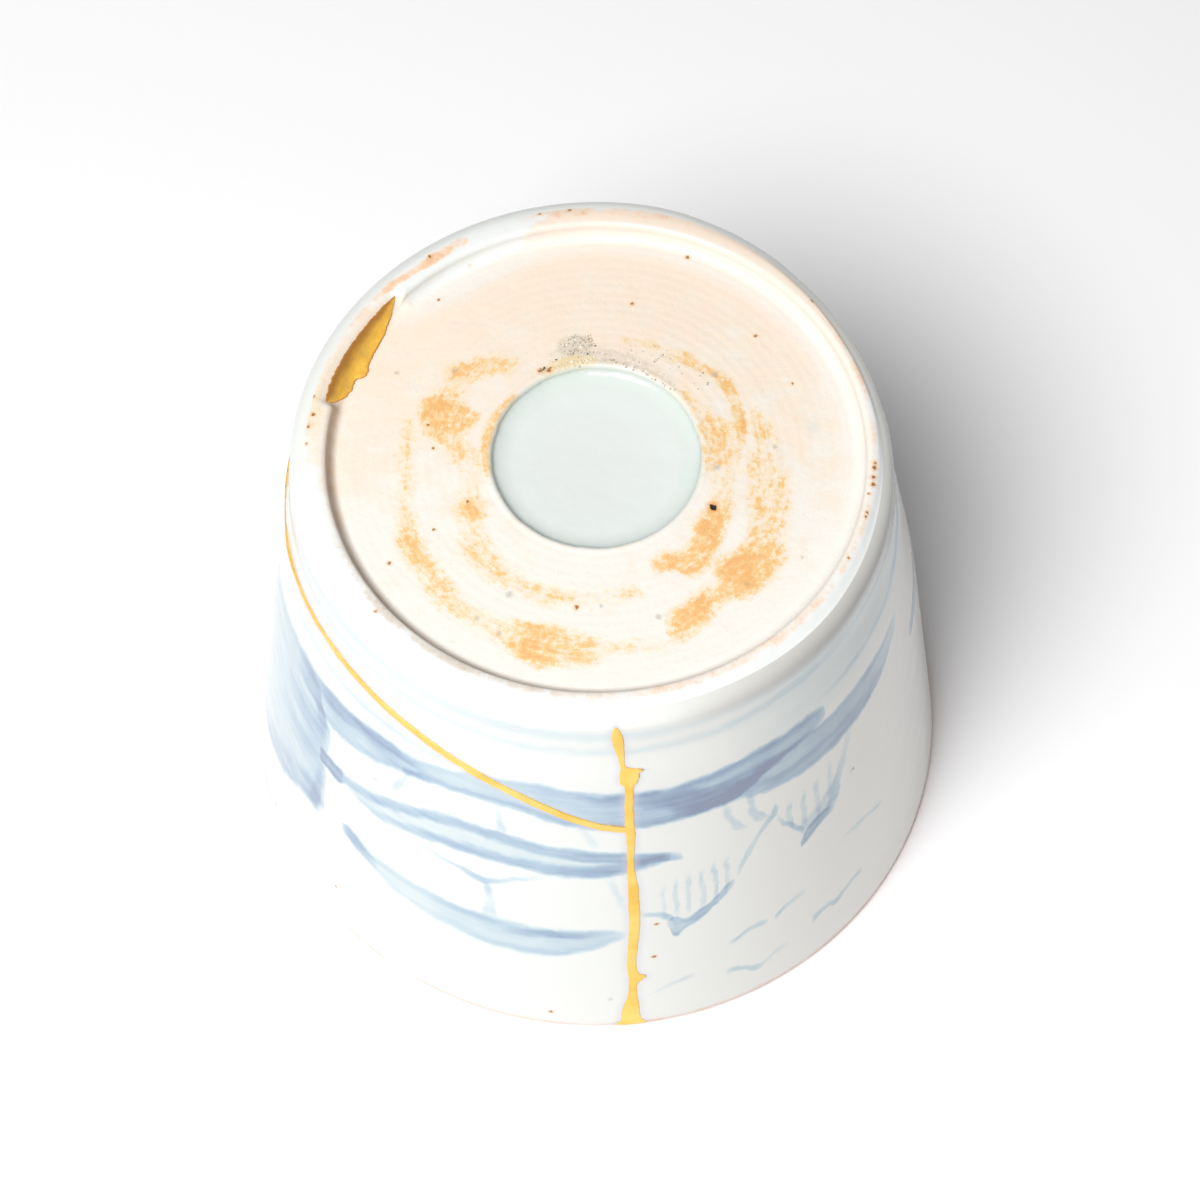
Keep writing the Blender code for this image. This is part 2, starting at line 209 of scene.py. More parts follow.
def insideLine():
    # From the middle of the lip's flat up the hollow to the middle of its floor
    lip = cup["lipRound"]
    low = mouthRadius - cup["lipThickness"]
    high = wallRadius(hollowTop) - cup["wallAtFloor"]
    slope = (high - low) / hollowTop
    start = hollowTop - cup["hollowFillet"]
    line = [(lipMiddle, 0.0)]
    line += arc(low + lip, lip, lip, -90, -180, 8)
    line += [(low + slope * z, z) for z in between(lip, start, 4.0)]
    line += arc(low + slope * start - cup["hollowFillet"], start, cup["hollowFillet"], 0, 90, 12)
    line += [(r, hollowTop) for r in between(line[-1][0], 0.0, 4.0)]
    line.append((0.0, hollowTop))
    return line


def lean(height):
    # The foot stands a little off the mouth's middle
    return cup["footOffCentre"] * (height / cupHeight) ** 2


def place(angle, radius, height):
    # A point in metres; angle 0 is the front, in degrees, and it grows towards +X
    turn = math.radians(angle)
    x = radius * math.sin(turn) + lean(height)
    return Vector((x, -radius * math.cos(turn), height)) * mm


def newTree(name, sockets):
    # A geometry tree with its named inputs, as {name: (kind, value)}
    tree = bpy.data.node_groups.new(name, "GeometryNodeTree")
    tree.interface.new_socket("Geometry", in_out="INPUT", socket_type="NodeSocketGeometry")
    tree.interface.new_socket("Geometry", in_out="OUTPUT", socket_type="NodeSocketGeometry")
    for label, (kind, value) in sockets.items():
        made = tree.interface.new_socket(label, in_out="INPUT", socket_type="NodeSocket" + kind)
        if value is not None:
            made.default_value = value
    return tree, tree.nodes.new("NodeGroupInput").outputs


def runTree(name, mesh, tree, values):
    # Runs a tree on a mesh and gives back the plain mesh object that it makes
    source = bpy.data.objects.new(name + "_source", mesh)
    bpy.context.scene.collection.objects.link(source)
    modifier = source.modifiers.new(tree.name, "NODES")
    modifier.node_group = tree
    for item in tree.interface.items_tree:
        if item.in_out == "INPUT" and item.name in values:
            modifier[item.identifier] = values[item.name]
    bpy.context.view_layer.update()
    evaluated = source.evaluated_get(bpy.context.evaluated_depsgraph_get())
    plain = bpy.data.meshes.new_from_object(evaluated)
    plain.name = name
    source.modifiers.remove(modifier)
    bpy.data.objects.remove(source)
    piece = bpy.data.objects.new(name, plain)
    bpy.context.scene.collection.objects.link(piece)
    print(name, "has", sum(len(p.vertices) - 2 for p in plain.polygons), "triangles")
    return piece


def pointsMesh(name, points, attributes=None, edges=True):
    # A line of points as a mesh, with values that its points carry
    mesh = bpy.data.meshes.new(name)
    pairs = [(i, i + 1) for i in range(len(points) - 1)] if edges else []
    mesh.from_pydata([tuple(p) for p in points], pairs, [])
    for label, values in (attributes or {}).items():
        isVector = not isinstance(values[0], float)
        kept = mesh.attributes.new(label, "FLOAT_VECTOR" if isVector else "FLOAT", "POINT")
        for slot, value in zip(kept.data, values):
            if isVector:
                slot.vector = value
            else:
                slot.value = value
    return mesh


def latheTree():
    # Turns the profile: every row of a grid takes one profile point, every column one turn
    tree, given = newTree("lathe", {
        "Turns": ("Int", 120),
        "Foot Off Centre": ("Float", 0.0),
        "Cup Height": ("Float", 0.06),
        "Edge Wander": ("Float", 0.0),
        "Foot Wander": ("Float", 0.0),
        "Well Radius": ("Float", 0.01),
        "Foot Radius": ("Float", 0.03),
        "Seed": ("Float", 0.0),
        "Chip From": ("Float", 0.0),
        "Chip To": ("Float", 0.0),
        "Chip Depth": ("Float", 0.0),
        "Lip Dip": ("Float", 0.0),
        "Land Edge": ("Float", 0.028), "Worn In": ("Float", 0.0), "Worn Drop": ("Float", 0.0),
        "Painted": ("Material", None),
        "Plain": ("Material", None),
        "Wiped": ("Material", None),
    })
    rows = add(tree, "AttributeDomainSize", given["Geometry"], component="MESH")
    columns = add(tree, "Math.ADD", given["Turns"], 1.0)
    grid = add(tree, "MeshGrid", 1.0, 1.0, columns, rows)
    index = add(tree, "InputIndex")
    row = add(tree, "Math.MODULO", index, rows)
    column = add(tree, "Math.FLOOR", add(tree, "Math.DIVIDE", index, rows))
    around = add(tree, "Math.DIVIDE", column, given["Turns"])
    angle = add(tree, "Math.MULTIPLY", around, math.tau)
    station = add(tree, "SampleIndex", given["Geometry"], add(tree, "InputPosition"),
                  inputs={"Index": row}, data_type="FLOAT_VECTOR", domain="POINT", clamp=True)
    zone = add(tree, "SampleIndex", given["Geometry"], add(tree, "InputNamedAttribute", "zone", data_type="FLOAT"),
               inputs={"Index": row}, data_type="FLOAT", domain="POINT", clamp=True)
    grid = add(tree, "StoreNamedAttribute", grid, inputs={"Name": "zone", "Value": zone},
               data_type="FLOAT", domain="POINT")
    split = add(tree, "SeparateXYZ", station).node.outputs
    sine = add(tree, "Math.SINE", angle)
    cosine = add(tree, "Math.COSINE", angle)
    direction = add(tree, "CombineXYZ", sine, cosine, given["Seed"])
    # Hand-made edges: a slow wander of the foot and a quicker one of the glaze's edge
    slow = add(tree, "TexNoise", direction, inputs={"Scale": 1.3, "Detail": 1.0})
    quick = add(tree, "TexNoise", direction, inputs={"Scale": 4.0, "Detail": 2.0})
    slow = add(tree, "Math.SUBTRACT", slow, 0.5)
    quick = add(tree, "Math.SUBTRACT", quick, 0.5)
    high = add(tree, "MapRange", add(tree, "Math.DIVIDE", split[2], given["Cup Height"]), 0.55, 1.0)
    nearWell = add(tree, "Math.ABSOLUTE", add(tree, "Math.SUBTRACT", split[0], given["Well Radius"]))
    nearWell = add(tree, "MapRange", nearWell, 0.0, 0.0016, 1.0, 0.0, interpolation_type="SMOOTHSTEP")
    nearWell = add(tree, "Math.MULTIPLY", nearWell, high)
    nearLand = add(tree, "Math.ABSOLUTE", add(tree, "Math.SUBTRACT", split[0], given["Foot Radius"]))
    nearLand = add(tree, "MapRange", nearLand, 0.0003, 0.0014, 1.0, 0.0, interpolation_type="SMOOTHSTEP")
    nearLand = add(tree, "Math.MULTIPLY", nearLand, high)
    wander = add(tree, "Math.MULTIPLY", quick, given["Edge Wander"])
    wander = add(tree, "Math.MULTIPLY", wander, nearWell)
    radius = add(tree, "Math.ADD", split[0], wander)
    wander = add(tree, "Math.MULTIPLY", slow, given["Foot Wander"])
    wander = add(tree, "Math.MULTIPLY", wander, nearLand)
    radius = add(tree, "Math.ADD", radius, wander)
    # The worn side of the foot: its edge stands in, and the wall below follows it
    outer = add(tree, "Math.GREATER_THAN", zone, 0.5)
    fromLand = add(tree, "Math.SUBTRACT", split[0], given["Land Edge"])
    for name, reach, (low, full) in (("In", 0.0024, (0.5, 0.94)), ("Drop", 0.0016, (0.90, 0.98))):
        pairs = cup["worn" + name]
        most = max(value for _, value in pairs)
        worn = add(tree, "FloatCurve", 1.0, around, curves=[[(a / 360, value / most) for a, value in pairs]])
        worn = add(tree, "Math.MULTIPLY", worn, given["Worn " + name])
        worn = add(tree, "Math.MULTIPLY", worn, outer)
        away = add(tree, "MapRange", fromLand, 0.0, reach, interpolation_type="SMOOTHSTEP")
        worn = add(tree, "Math.MULTIPLY", worn, away)
        up = add(tree, "Math.DIVIDE", split[2], given["Cup Height"])
        worn = add(tree, "Math.MULTIPLY", worn, add(tree, "MapRange", up, low, full,
                                                    interpolation_type="SMOOTHSTEP"))
        if name == "In":
            radius = add(tree, "Math.SUBTRACT", radius, worn)
    # The chip of the rim: inside its turn nothing stands above the broken surface
    section = sorted(fill["section"])
    (firstR, firstZ), (lastR, lastZ) = section[0], section[-1]
    broken = [((r - firstR) / (lastR - firstR), (z - firstZ) / (lastZ - firstZ)) for r, z in section]
    down = add(tree, "MapRange", radius, firstR * mm, lastR * mm)
    down = add(tree, "FloatCurve", 1.0, down, curves=[broken])
    down = add(tree, "MapRange", down, 0.0, 1.0, firstZ * mm, lastZ * mm)
    down = add(tree, "Math.SUBTRACT", down, given["Chip Depth"])
    down = add(tree, "Math.MINIMUM", down, split[2])
    fade = math.radians(0.8)
    opens = add(tree, "Math.SUBTRACT", angle, given["Chip From"])
    closes = add(tree, "Math.SUBTRACT", given["Chip To"], angle)
    chipped = add(tree, "MapRange", add(tree, "Math.MINIMUM", opens, closes), -fade, fade)
    nearRim = add(tree, "MapRange", radius, firstR * mm + 0.0012, firstR * mm + 0.0018)
    inRim = add(tree, "MapRange", radius, lastR * mm, (lastR - 0.1) * mm)
    chipped = add(tree, "Math.MULTIPLY", chipped, add(tree, "Math.MULTIPLY", nearRim, inRim))
    chipped = add(tree, "Math.MULTIPLY", chipped, add(tree, "Math.GREATER_THAN", high, 0.5))
    height = add(tree, "Mix", chipped, inputs={2: split[2], 3: down}, data_type="FLOAT")
    # A notch of the lip under each seam, so that the gold there lies level with it
    low = add(tree, "MapRange", split[2], 0.0012, 0.0)
    for seamAngle in cup["seamAngles"]:
        away = add(tree, "Math.ABSOLUTE", add(tree, "Math.SUBTRACT", angle, math.radians(seamAngle % 360)))
        near = add(tree, "MapRange", away, math.radians(3.0), math.radians(1.2), interpolation_type="SMOOTHSTEP")
        dip = add(tree, "Math.MULTIPLY", add(tree, "Math.MULTIPLY", near, low), given["Lip Dip"])
        height = add(tree, "Math.ADD", height, dip)
    height = add(tree, "Math.SUBTRACT", height, worn)
    share = add(tree, "Math.DIVIDE", split[2], given["Cup Height"])
    aside = add(tree, "Math.MULTIPLY", add(tree, "Math.POWER", share, 2.0), given["Foot Off Centre"])
    x = add(tree, "Math.MULTIPLY_ADD", radius, sine, aside)
    y = add(tree, "Math.MULTIPLY", add(tree, "Math.MULTIPLY", radius, cosine), -1.0)
    turned = add(tree, "SetPosition", grid, inputs={"Position": add(tree, "CombineXYZ", x, y, height)})
    joined = add(tree, "MergeByDistance", turned, inputs={"Distance": 1e-6})
    smooth = add(tree, "SetShadeSmooth", joined)
    whole = add(tree, "RealizeInstances", smooth)
    dressed = add(tree, "SetMaterial", whole, inputs={"Material": given["Painted"]})
    zone = add(tree, "InputNamedAttribute", "zone", data_type="FLOAT")
    dressed = add(tree, "SetMaterial", dressed, inputs={
        "Selection": add(tree, "Math.LESS_THAN", zone, 0.4), "Material": given["Plain"]})
    dressed = add(tree, "SetMaterial", dressed, inputs={
        "Selection": add(tree, "Math.GREATER_THAN", zone, 1.6), "Material": given["Wiped"]})
    tree.links.new(dressed, tree.nodes.new("NodeGroupOutput").inputs[0])
    return tree


def joinPieces(name, pieces):
    # One mesh object from several, with what their points carry
    first = pieces[0]
    with bpy.context.temp_override(active_object=first, selected_editable_objects=pieces, object=first):
        bpy.ops.object.join()
    first.name = name
    first.data.name = name
    return first


def faceOut(piece):
    # Merges doubles and turns the faces out, by the sign of the volume
    mesh = bmesh.new()
    mesh.from_mesh(piece.data)
    bmesh.ops.remove_doubles(mesh, verts=mesh.verts[:], dist=1e-6)
    bmesh.ops.dissolve_degenerate(mesh, edges=mesh.edges[:], dist=1e-7)
    bmesh.ops.recalc_face_normals(mesh, faces=mesh.faces[:])
    if mesh.calc_volume(signed=True) < 0:
        bmesh.ops.reverse_faces(mesh, faces=mesh.faces[:])
    mesh.to_mesh(piece.data)
    mesh.free()


# Gold seams: where they run

seam = {
    "proud": 0.10, "keel": 0.25,
    "ragged": 0.09,            # how far the brushed edge strays
    "raggedGrain": 0.9,
    "spacing": 0.22,
    "sides": 16,
    "insideShare": 0.93,
}

# The upright seam: height, and the angles of its left and right edges
uprightEdges = [
    (60.7, 2.7, 3.1), (59.8, 2.3, 3.9), (58.0, 2.3, 4.4), (56.0, 3.0, 4.6), (54.0, 3.6, 4.6),
    (53.2, 3.8, 5.0), (52.8, 3.8, 6.6), (52.4, 3.7, 8.2), (52.1, 3.6, 7.2), (51.5, 3.5, 7.2),
    (50.5, 3.8, 6.9), (49.8, 4.5, 6.2), (48.0, 4.6, 6.1), (45.0, 4.5, 6.1), (42.0, 4.6, 6.3),
    (40.0, 4.8, 6.4), (36.0, 4.9, 6.1), (33.0, 4.9, 6.3), (30.0, 5.0, 6.8), (27.0, 5.1, 6.9),
    (24.0, 5.1, 7.0), (20.0, 5.0, 6.8), (17.0, 4.8, 6.4), (14.0, 4.6, 6.2), (12.2, 4.8, 6.6),
    (11.6, 4.9, 7.7), (11.0, 4.9, 7.7), (10.2, 4.9, 6.6), (9.0, 4.9, 6.2), (7.0, 4.6, 6.3),
    (5.0, 3.9, 6.6), (3.0, 3.6, 6.6), (1.8, 3.4, 7.0), (1.1, 2.6, 7.8),
]
# Its middle line, smoother than its edges
uprightMiddle = [(60.7, 2.9), (58.0, 3.4), (54.0, 4.2), (50.0, 5.1), (45.0, 5.4), (36.0, 5.6), (27.0, 5.9),
                 (20.0, 5.8), (12.0, 5.5), (5.0, 5.2), (1.1, 5.2)]
# The side seam: angle, height and half its width, round the left and the back and down to the lip
sideMiddle = [
    (5.4, 41.6, 0.66), (4.0, 41.8, 0.66), (2.3, 42.2, 0.62), (0.0, 42.6, 0.62), (-5.0, 44.1, 0.62),
    (-10.0, 45.7, 0.66), (-15.0, 47.1, 0.68), (-20.0, 48.3, 0.70), (-25.0, 49.4, 0.74), (-30.0, 50.3, 0.74),
    (-35.0, 51.1, 0.72), (-40.0, 51.6, 0.68), (-45.0, 52.0, 0.66), (-50.0, 52.3, 0.66), (-53.5, 52.4, 0.66),
    (-55.2, 52.4, 0.82), (-57.0, 52.5, 0.62), (-64.0, 52.4, 0.58), (-72.0, 52.2, 0.54), (-82.0, 51.8, 0.52),
    (-100.0, 51.2, 0.56), (-120.0, 50.0, 0.6), (-138.0, 46.0, 0.6), (-150.0, 37.6, 0.6), (-157.0, 26.5, 0.6),
    (-161.0, 14.2, 0.6), (-163.0, 3.5, 0.6), (-163.0, 1.1, 0.6),
]


# Cobalt painting under the glaze.
# A stroke is a list of places: where along it, its middle, half its width, and how strong the wash is.
# Along is the angle from the front and across is the height, or the other way round where upright is set.

painting = {
    "warp": 0.34,              # how far a stroke's edge strays
    "warpGrain": 2.4,          # size of that straying
    "mottle": 3.2,             # size of the wash's clouds
}

brushwork = [
    # Lines that the brush laid round the foot on the wheel
    {"soft": 1.3, "points": [(-180, 58.6, 0.8, 0.06), (-60, 58.9, 0.8, 0.05), (-20, 59.0, 0.8, 0.07),
                             (22, 58.9, 0.7, 0.05), (36, 59.2, 0.6, 0.05), (46, 59.4, 0.6, 0.06),
                             (60, 59.6, 0.6, 0.07), (74, 59.6, 0.6, 0.06), (95, 59.4, 0.6, 0.06),
                             (120, 59.2, 0.7, 0.08), (180, 58.6, 0.8, 0.06)]},
    {"soft": 1.3, "points": [(-180, 55.6, 0.6, 0.05), (-50, 56.0, 0.6, 0.05), (-10, 56.0, 0.6, 0.06),
                             (20, 56.1, 0.6, 0.07), (35, 56.8, 0.8, 0.08), (50, 57.2, 0.9, 0.07),
                             (75, 57.4, 0.8, 0.05), (110, 56.6, 0.7, 0.05), (180, 55.6, 0.6, 0.05)]},
    {"soft": 1.0, "points": [(-80, 48.4, 0.4, 0.0), (-60, 48.8, 0.5, 0.06), (-35, 48.9, 0.5, 0.07),
                             (-22, 49.1, 0.4, 0.0)]},
    {"soft": 1.0, "points": [(42, 51.0, 0.4, 0.0), (52, 51.0, 0.4, 0.08), (66, 51.4, 0.4, 0.08),
                             (76, 52.5, 0.6, 0.18), (90, 53.6, 0.6, 0.14), (104, 53.9, 0.4, 0.0)]},
    {"soft": 6.0, "points": [(22, 54.0, 3.0, 0.0), (36, 54.0, 4.5, 0.05), (60, 54.5, 5.0, 0.06),
                             (90, 55.0, 5.0, 0.06), (120, 55.0, 3.0, 0.0)]},
    # The far shore: one long band that forks on the right
    {"soft": 1.3, "points": [(-68, 41.2, 2.0, 0.0), (-60, 41.3, 2.6, 0.20), (-54, 41.6, 3.0, 0.24),
                             (-46, 42.6, 2.9, 0.24), (-38, 44.0, 2.0, 0.27), (-32, 44.9, 1.6, 0.22),
                             (-25, 46.2, 1.9, 0.17), (-16, 47.0, 2.4, 0.22), (-6, 46.0, 3.1, 0.26),
                             (4, 45.1, 3.2, 0.32), (14, 45.3, 3.3, 0.38), (24, 45.9, 3.3, 0.36),
                             (32, 47.3, 2.2, 0.34), (40, 48.0, 1.7, 0.34), (45.0, 48.4, 0.7, 0.0)]},
    {"soft": 1.2, "points": [(22, 43.8, 1.4, 0.0), (27, 43.7, 2.0, 0.22), (34, 43.4, 2.9, 0.28),
                             (44, 43.1, 3.2, 0.34), (54, 43.3, 3.0, 0.34), (62, 43.9, 2.3, 0.28),
                             (68, 44.8, 1.4, 0.16), (71, 45.2, 0.6, 0.0)]},
    {"soft": 2.0, "points": [(-4, 47.8, 0.8, 0.0), (2, 47.7, 0.9, 0.12), (10, 46.6, 1.3, 0.20),
                             (16, 45.2, 1.9, 0.24), (21, 44.5, 1.9, 0.28), (27, 45.2, 1.3, 0.22),
                             (32, 45.9, 0.8, 0.18), (38, 46.0, 0.5, 0.0)]},
    {"soft": 1.4, "points": [(12, 43.2, 0.6, 0.0), (18, 43.4, 0.9, 0.12), (25, 43.6, 0.7, 0.10),
                             (34, 42.2, 0.7, 0.12), (48, 41.9, 0.8, 0.14), (57, 42.0, 0.7, 0.14),
                             (63, 42.8, 0.4, 0.0)]},
    {"soft": 1.6, "points": [(-68, 43.0, 1.0, 0.0), (-60, 43.2, 1.2, 0.10), (-54, 43.5, 1.3, 0.18),
                             (-47, 44.4, 1.1, 0.16), (-40, 45.2, 0.9, 0.16), (-32, 45.8, 0.5, 0.0)]},
    {"soft": 0.9, "points": [(-37, 42.7, 0.5, 0.0), (-34.7, 43.1, 0.6, 0.16), (-31, 43.8, 0.5, 0.08),
                             (-24, 44.6, 0.6, 0.10), (-15, 44.7, 0.6, 0.12), (-8, 43.5, 0.8, 0.12),
                             (0, 42.6, 0.4, 0.0)]},
    # The cliff on the left
    {"soft": 2.0, "points": [(-108, 24, 3.0, 0.0), (-98, 24, 8.0, 0.10), (-88, 25.0, 13.5, 0.14),
                             (-82, 26.4, 15.6, 0.16), (-76, 27.6, 15.4, 0.17), (-68, 29.0, 14.6, 0.19),
                             (-61, 30.6, 12.6, 0.20), (-57.5, 29.4, 10.4, 0.22), (-55.8, 28.8, 9.0, 0.20),
                             (-54.6, 28.8, 8.4, 0.0)]},
    {"soft": 3.0, "points": [(-72, 34.2, 1.6, 0.0), (-64, 34.4, 2.2, 0.10), (-58, 34.6, 2.4, 0.10),
                             (-55.6, 34.0, 1.6, 0.0)]},
    {"soft": 3.0, "points": [(-74, 27.8, 0.8, 0.0), (-66, 28.6, 1.4, 0.07), (-58, 29.4, 1.8, 0.08),
                             (-55.4, 29.4, 1.4, 0.0)]},
    {"soft": 2.6, "points": [(-90, 12.0, 1.0, 0.0), (-80, 13.4, 1.6, 0.10), (-72, 15.6, 2.2, 0.12),
                             (-64, 18.8, 2.4, 0.12), (-59, 20.8, 2.4, 0.16), (-55.6, 20.8, 1.8, 0.0)]},
    {"soft": 1.6, "upright": True, "points": [(18.0, -57.6, 1.2, 0.0), (20, -57.4, 1.4, 0.14),
                                              (24, -57.0, 1.0, 0.13), (27, -56.6, 0.8, 0.10),
                                              (30, -56.3, 0.7, 0.0)]},
    {"soft": 1.4, "upright": True, "points": [(33.0, -56.6, 0.8, 0.0), (36, -57.0, 1.0, 0.10),
                                              (38.6, -57.8, 1.4, 0.14), (40.4, -59.0, 1.2, 0.0)]},
    # The near shore: two wet edges with a pale wash between them
    {"soft": 1.1, "points": [(-57.2, 30.8, 0.8, 0.0), (-55.8, 30.8, 1.2, 0.34), (-51.5, 30.9, 1.3, 0.44),
                             (-49.7, 31.4, 0.9, 0.18), (-45, 32.6, 0.8, 0.15), (-40, 34.1, 0.9, 0.18),
                             (-34, 36.0, 0.9, 0.18), (-28, 37.6, 0.9, 0.20), (-20, 38.2, 0.9, 0.20),
                             (-12, 37.6, 0.9, 0.20), (-4, 36.9, 0.9, 0.24), (4, 36.2, 1.0, 0.32),
                             (10, 35.6, 0.8, 0.34), (14.8, 34.8, 0.4, 0.0)]},
    {"soft": 1.2, "points": [(-48, 30.4, 0.4, 0.0), (-42, 30.6, 0.6, 0.08), (-36, 31.8, 0.7, 0.11),
                             (-30, 33.0, 0.8, 0.13), (-22, 34.0, 0.8, 0.16), (-12, 33.9, 1.0, 0.18),
                             (-4, 33.7, 1.1, 0.22), (3, 34.1, 1.0, 0.26), (9, 34.8, 0.7, 0.24),
                             (13, 35.0, 0.3, 0.0)]},
    {"soft": 1.2, "points": [(-52, 30.9, 0.6, 0.0), (-46, 31.4, 1.2, 0.10), (-38, 32.8, 2.2, 0.11),
                             (-28, 35.2, 2.7, 0.11), (-18, 36.1, 2.8, 0.12), (-8, 35.4, 2.6, 0.14),
                             (2, 35.2, 1.8, 0.14), (9, 35.3, 1.0, 0.12), (13, 35.0, 0.3, 0.0)]},
    # The boat-shaped bank below it
    {"soft": 1.1, "points": [(-49.8, 21.7, 0.5, 0.0), (-48, 21.6, 0.9, 0.30), (-45.5, 21.1, 1.1, 0.32),
                             (-43, 20.5, 1.0, 0.17), (-40.5, 19.9, 0.7, 0.0)]},
    {"soft": 1.4, "points": [(-45, 20.4, 0.8, 0.0), (-41, 20.0, 1.5, 0.11), (-33, 19.4, 2.2, 0.11),
                             (-24, 18.9, 2.6, 0.16), (-16, 18.6, 2.9, 0.19), (-9, 18.7, 2.8, 0.21),
                             (-3, 19.3, 2.2, 0.23), (2, 20.3, 1.2, 0.18), (5, 20.7, 0.4, 0.0)]},
    {"soft": 1.0, "points": [(-17, 19.6, 0.3, 0.0), (-12, 20.1, 0.7, 0.20), (-8, 20.4, 0.7, 0.24),
                             (-3, 20.6, 0.6, 0.14), (0, 20.9, 0.4, 0.07), (4, 21.0, 0.3, 0.0)]},
    {"soft": 1.4, "points": [(-36, 21.0, 0.4, 0.0), (-28, 20.8, 0.6, 0.05), (-20, 20.6, 0.7, 0.06),
                             (-14, 20.2, 0.5, 0.0)]},
    # Thin lines between the shores
    {"soft": 0.9, "points": [(-34, 30.4, 0.2, 0.0), (-30, 30.2, 0.3, 0.07), (-25, 29.6, 0.4, 0.14),
                             (-20.5, 28.8, 0.6, 0.22), (-18, 29.3, 0.5, 0.15), (-13, 30.9, 0.4, 0.09),
                             (-8, 32.4, 0.3, 0.0)]},
    {"soft": 1.2, "upright": True, "points": [(21.3, -18.2, 1.4, 0.0), (22.4, -18.5, 1.2, 0.10),
                                              (25, -19.0, 0.7, 0.08), (28, -19.4, 0.6, 0.12),
                                              (28.8, -19.5, 0.4, 0.0)]},
    {"soft": 1.0, "upright": True, "points": [(38.4, -16.9, 0.7, 0.0), (39.5, -17.0, 0.8, 0.09),
                                              (42, -17.6, 0.6, 0.09), (44, -17.8, 0.5, 0.0)]},
    {"soft": 1.2, "upright": True, "points": [(38, -1.0, 0.6, 0.0), (39.2, -1.2, 0.8, 0.06),
                                              (42, -2.6, 0.7, 0.06), (43.5, -3.0, 0.5, 0.0)]},
    {"soft": 1.0, "upright": True, "points": [(37, -38.8, 0.8, 0.0), (38, -38.2, 0.8, 0.07),
                                              (41, -36.5, 0.5, 0.09), (43.6, -34.6, 0.5, 0.0)]},
    {"soft": 1.4, "upright": True, "points": [(24, 4.8, 0.6, 0.0), (27, 3.9, 0.6, 0.06),
                                              (31, 2.4, 0.7, 0.07), (33, 1.8, 0.5, 0.0)]},
    {"soft": 1.0, "upright": True, "points": [(35.6, 26.6, 0.8, 0.0), (36.4, 25.6, 0.9, 0.10),
                                              (38, 24.2, 0.7, 0.12), (42, 23.0, 0.5, 0.06),
                                              (43, 22.8, 0.5, 0.0)]},
    {"soft": 1.0, "upright": True, "points": [(35.4, 31.4, 1.0, 0.0), (36.0, 29.8, 1.2, 0.10),
                                              (38.5, 28.0, 0.7, 0.12), (42, 27.3, 0.6, 0.08),
                                              (43, 27.2, 0.5, 0.0)]},
    # The first hill
    {"soft": 0.9, "points": [(6.6, 24.8, 0.3, 0.0), (8, 24.4, 0.4, 0.14), (10, 24.0, 0.5, 0.18),
                             (12, 22.9, 0.7, 0.20), (13, 22.0, 0.5, 0.0)]},
    {"soft": 0.8, "points": [(11.5, 21.6, 0.4, 0.0), (12.2, 21.2, 1.3, 0.24), (12.9, 20.7, 2.0, 0.30),
                             (14, 20.6, 1.4, 0.28), (15.5, 21.0, 0.8, 0.30), (17.5, 22.0, 0.8, 0.30),
                             (20, 23.6, 0.9, 0.26), (22.5, 25.4, 0.8, 0.20), (24, 26.3, 0.4, 0.0)]},
    {"soft": 0.9, "points": [(24.0, 27.6, 0.6, 0.0), (25.2, 28.9, 0.9, 0.12), (27, 31.3, 0.8, 0.10),
                             (30, 34.2, 0.6, 0.12), (32.3, 36.2, 0.8, 0.19), (33.4, 36.6, 0.4, 0.0)]},
    # The second hill
    {"soft": 0.9, "points": [(32.4, 34.8, 0.6, 0.0), (33.6, 33.2, 0.6, 0.14), (35.5, 31.4, 0.6, 0.17),
                             (37.5, 29.2, 0.6, 0.20), (38.5, 28.2, 0.4, 0.0)]},
    {"soft": 0.9, "points": [(37.2, 26.2, 0.4, 0.0), (38, 26.7, 0.9, 0.36), (39.3, 27.5, 1.2, 0.42),
                             (41.5, 28.2, 0.9, 0.38), (44.0, 28.5, 0.6, 0.26), (45.4, 28.3, 0.3, 0.0)]},
    {"soft": 1.6, "points": [(36.6, 30.2, 0.5, 0.0), (38.6, 29.6, 1.2, 0.10), (42, 30.0, 1.4, 0.12),
                             (45, 31.2, 2.0, 0.10), (47.4, 33.0, 1.2, 0.0)]},
    {"soft": 1.2, "upright": True, "points": [(28.2, 44.6, 0.8, 0.0), (29.5, 44.9, 1.1, 0.13),
                                              (32, 46.0, 1.1, 0.13), (35, 47.6, 1.0, 0.11),
                                              (38, 49.5, 1.0, 0.09), (40.2, 50.8, 0.8, 0.0)]},
    # Ripples
    {"soft": 0.8, "points": [(22.3, 13.5, 0.2, 0.0), (23.5, 13.9, 0.4, 0.13), (26.5, 14.8, 0.4, 0.13),
                             (29.2, 14.8, 0.4, 0.11), (29.9, 14.8, 0.2, 0.0)]},
    {"soft": 0.8, "points": [(30.8, 14.3, 0.3, 0.0), (31.6, 14.6, 0.4, 0.15), (34, 15.6, 0.4, 0.09),
                             (36.8, 15.9, 0.4, 0.06), (38, 15.9, 0.2, 0.0)]},
    {"soft": 0.8, "points": [(38, 8.3, 0.4, 0.0), (38.9, 8.8, 0.6, 0.15), (42, 9.1, 0.4, 0.12),
                             (43.8, 8.4, 0.6, 0.17), (47, 9.3, 0.4, 0.11), (50, 9.2, 0.4, 0.11),
                             (51, 9.2, 0.2, 0.0)]},
    {"soft": 0.8, "points": [(45.5, 20.2, 0.2, 0.0), (47.5, 20.0, 0.3, 0.05), (50.5, 19.5, 0.5, 0.11),
                             (54, 19.0, 0.4, 0.07), (57, 17.9, 0.4, 0.11), (58, 17.7, 0.2, 0.0)]},
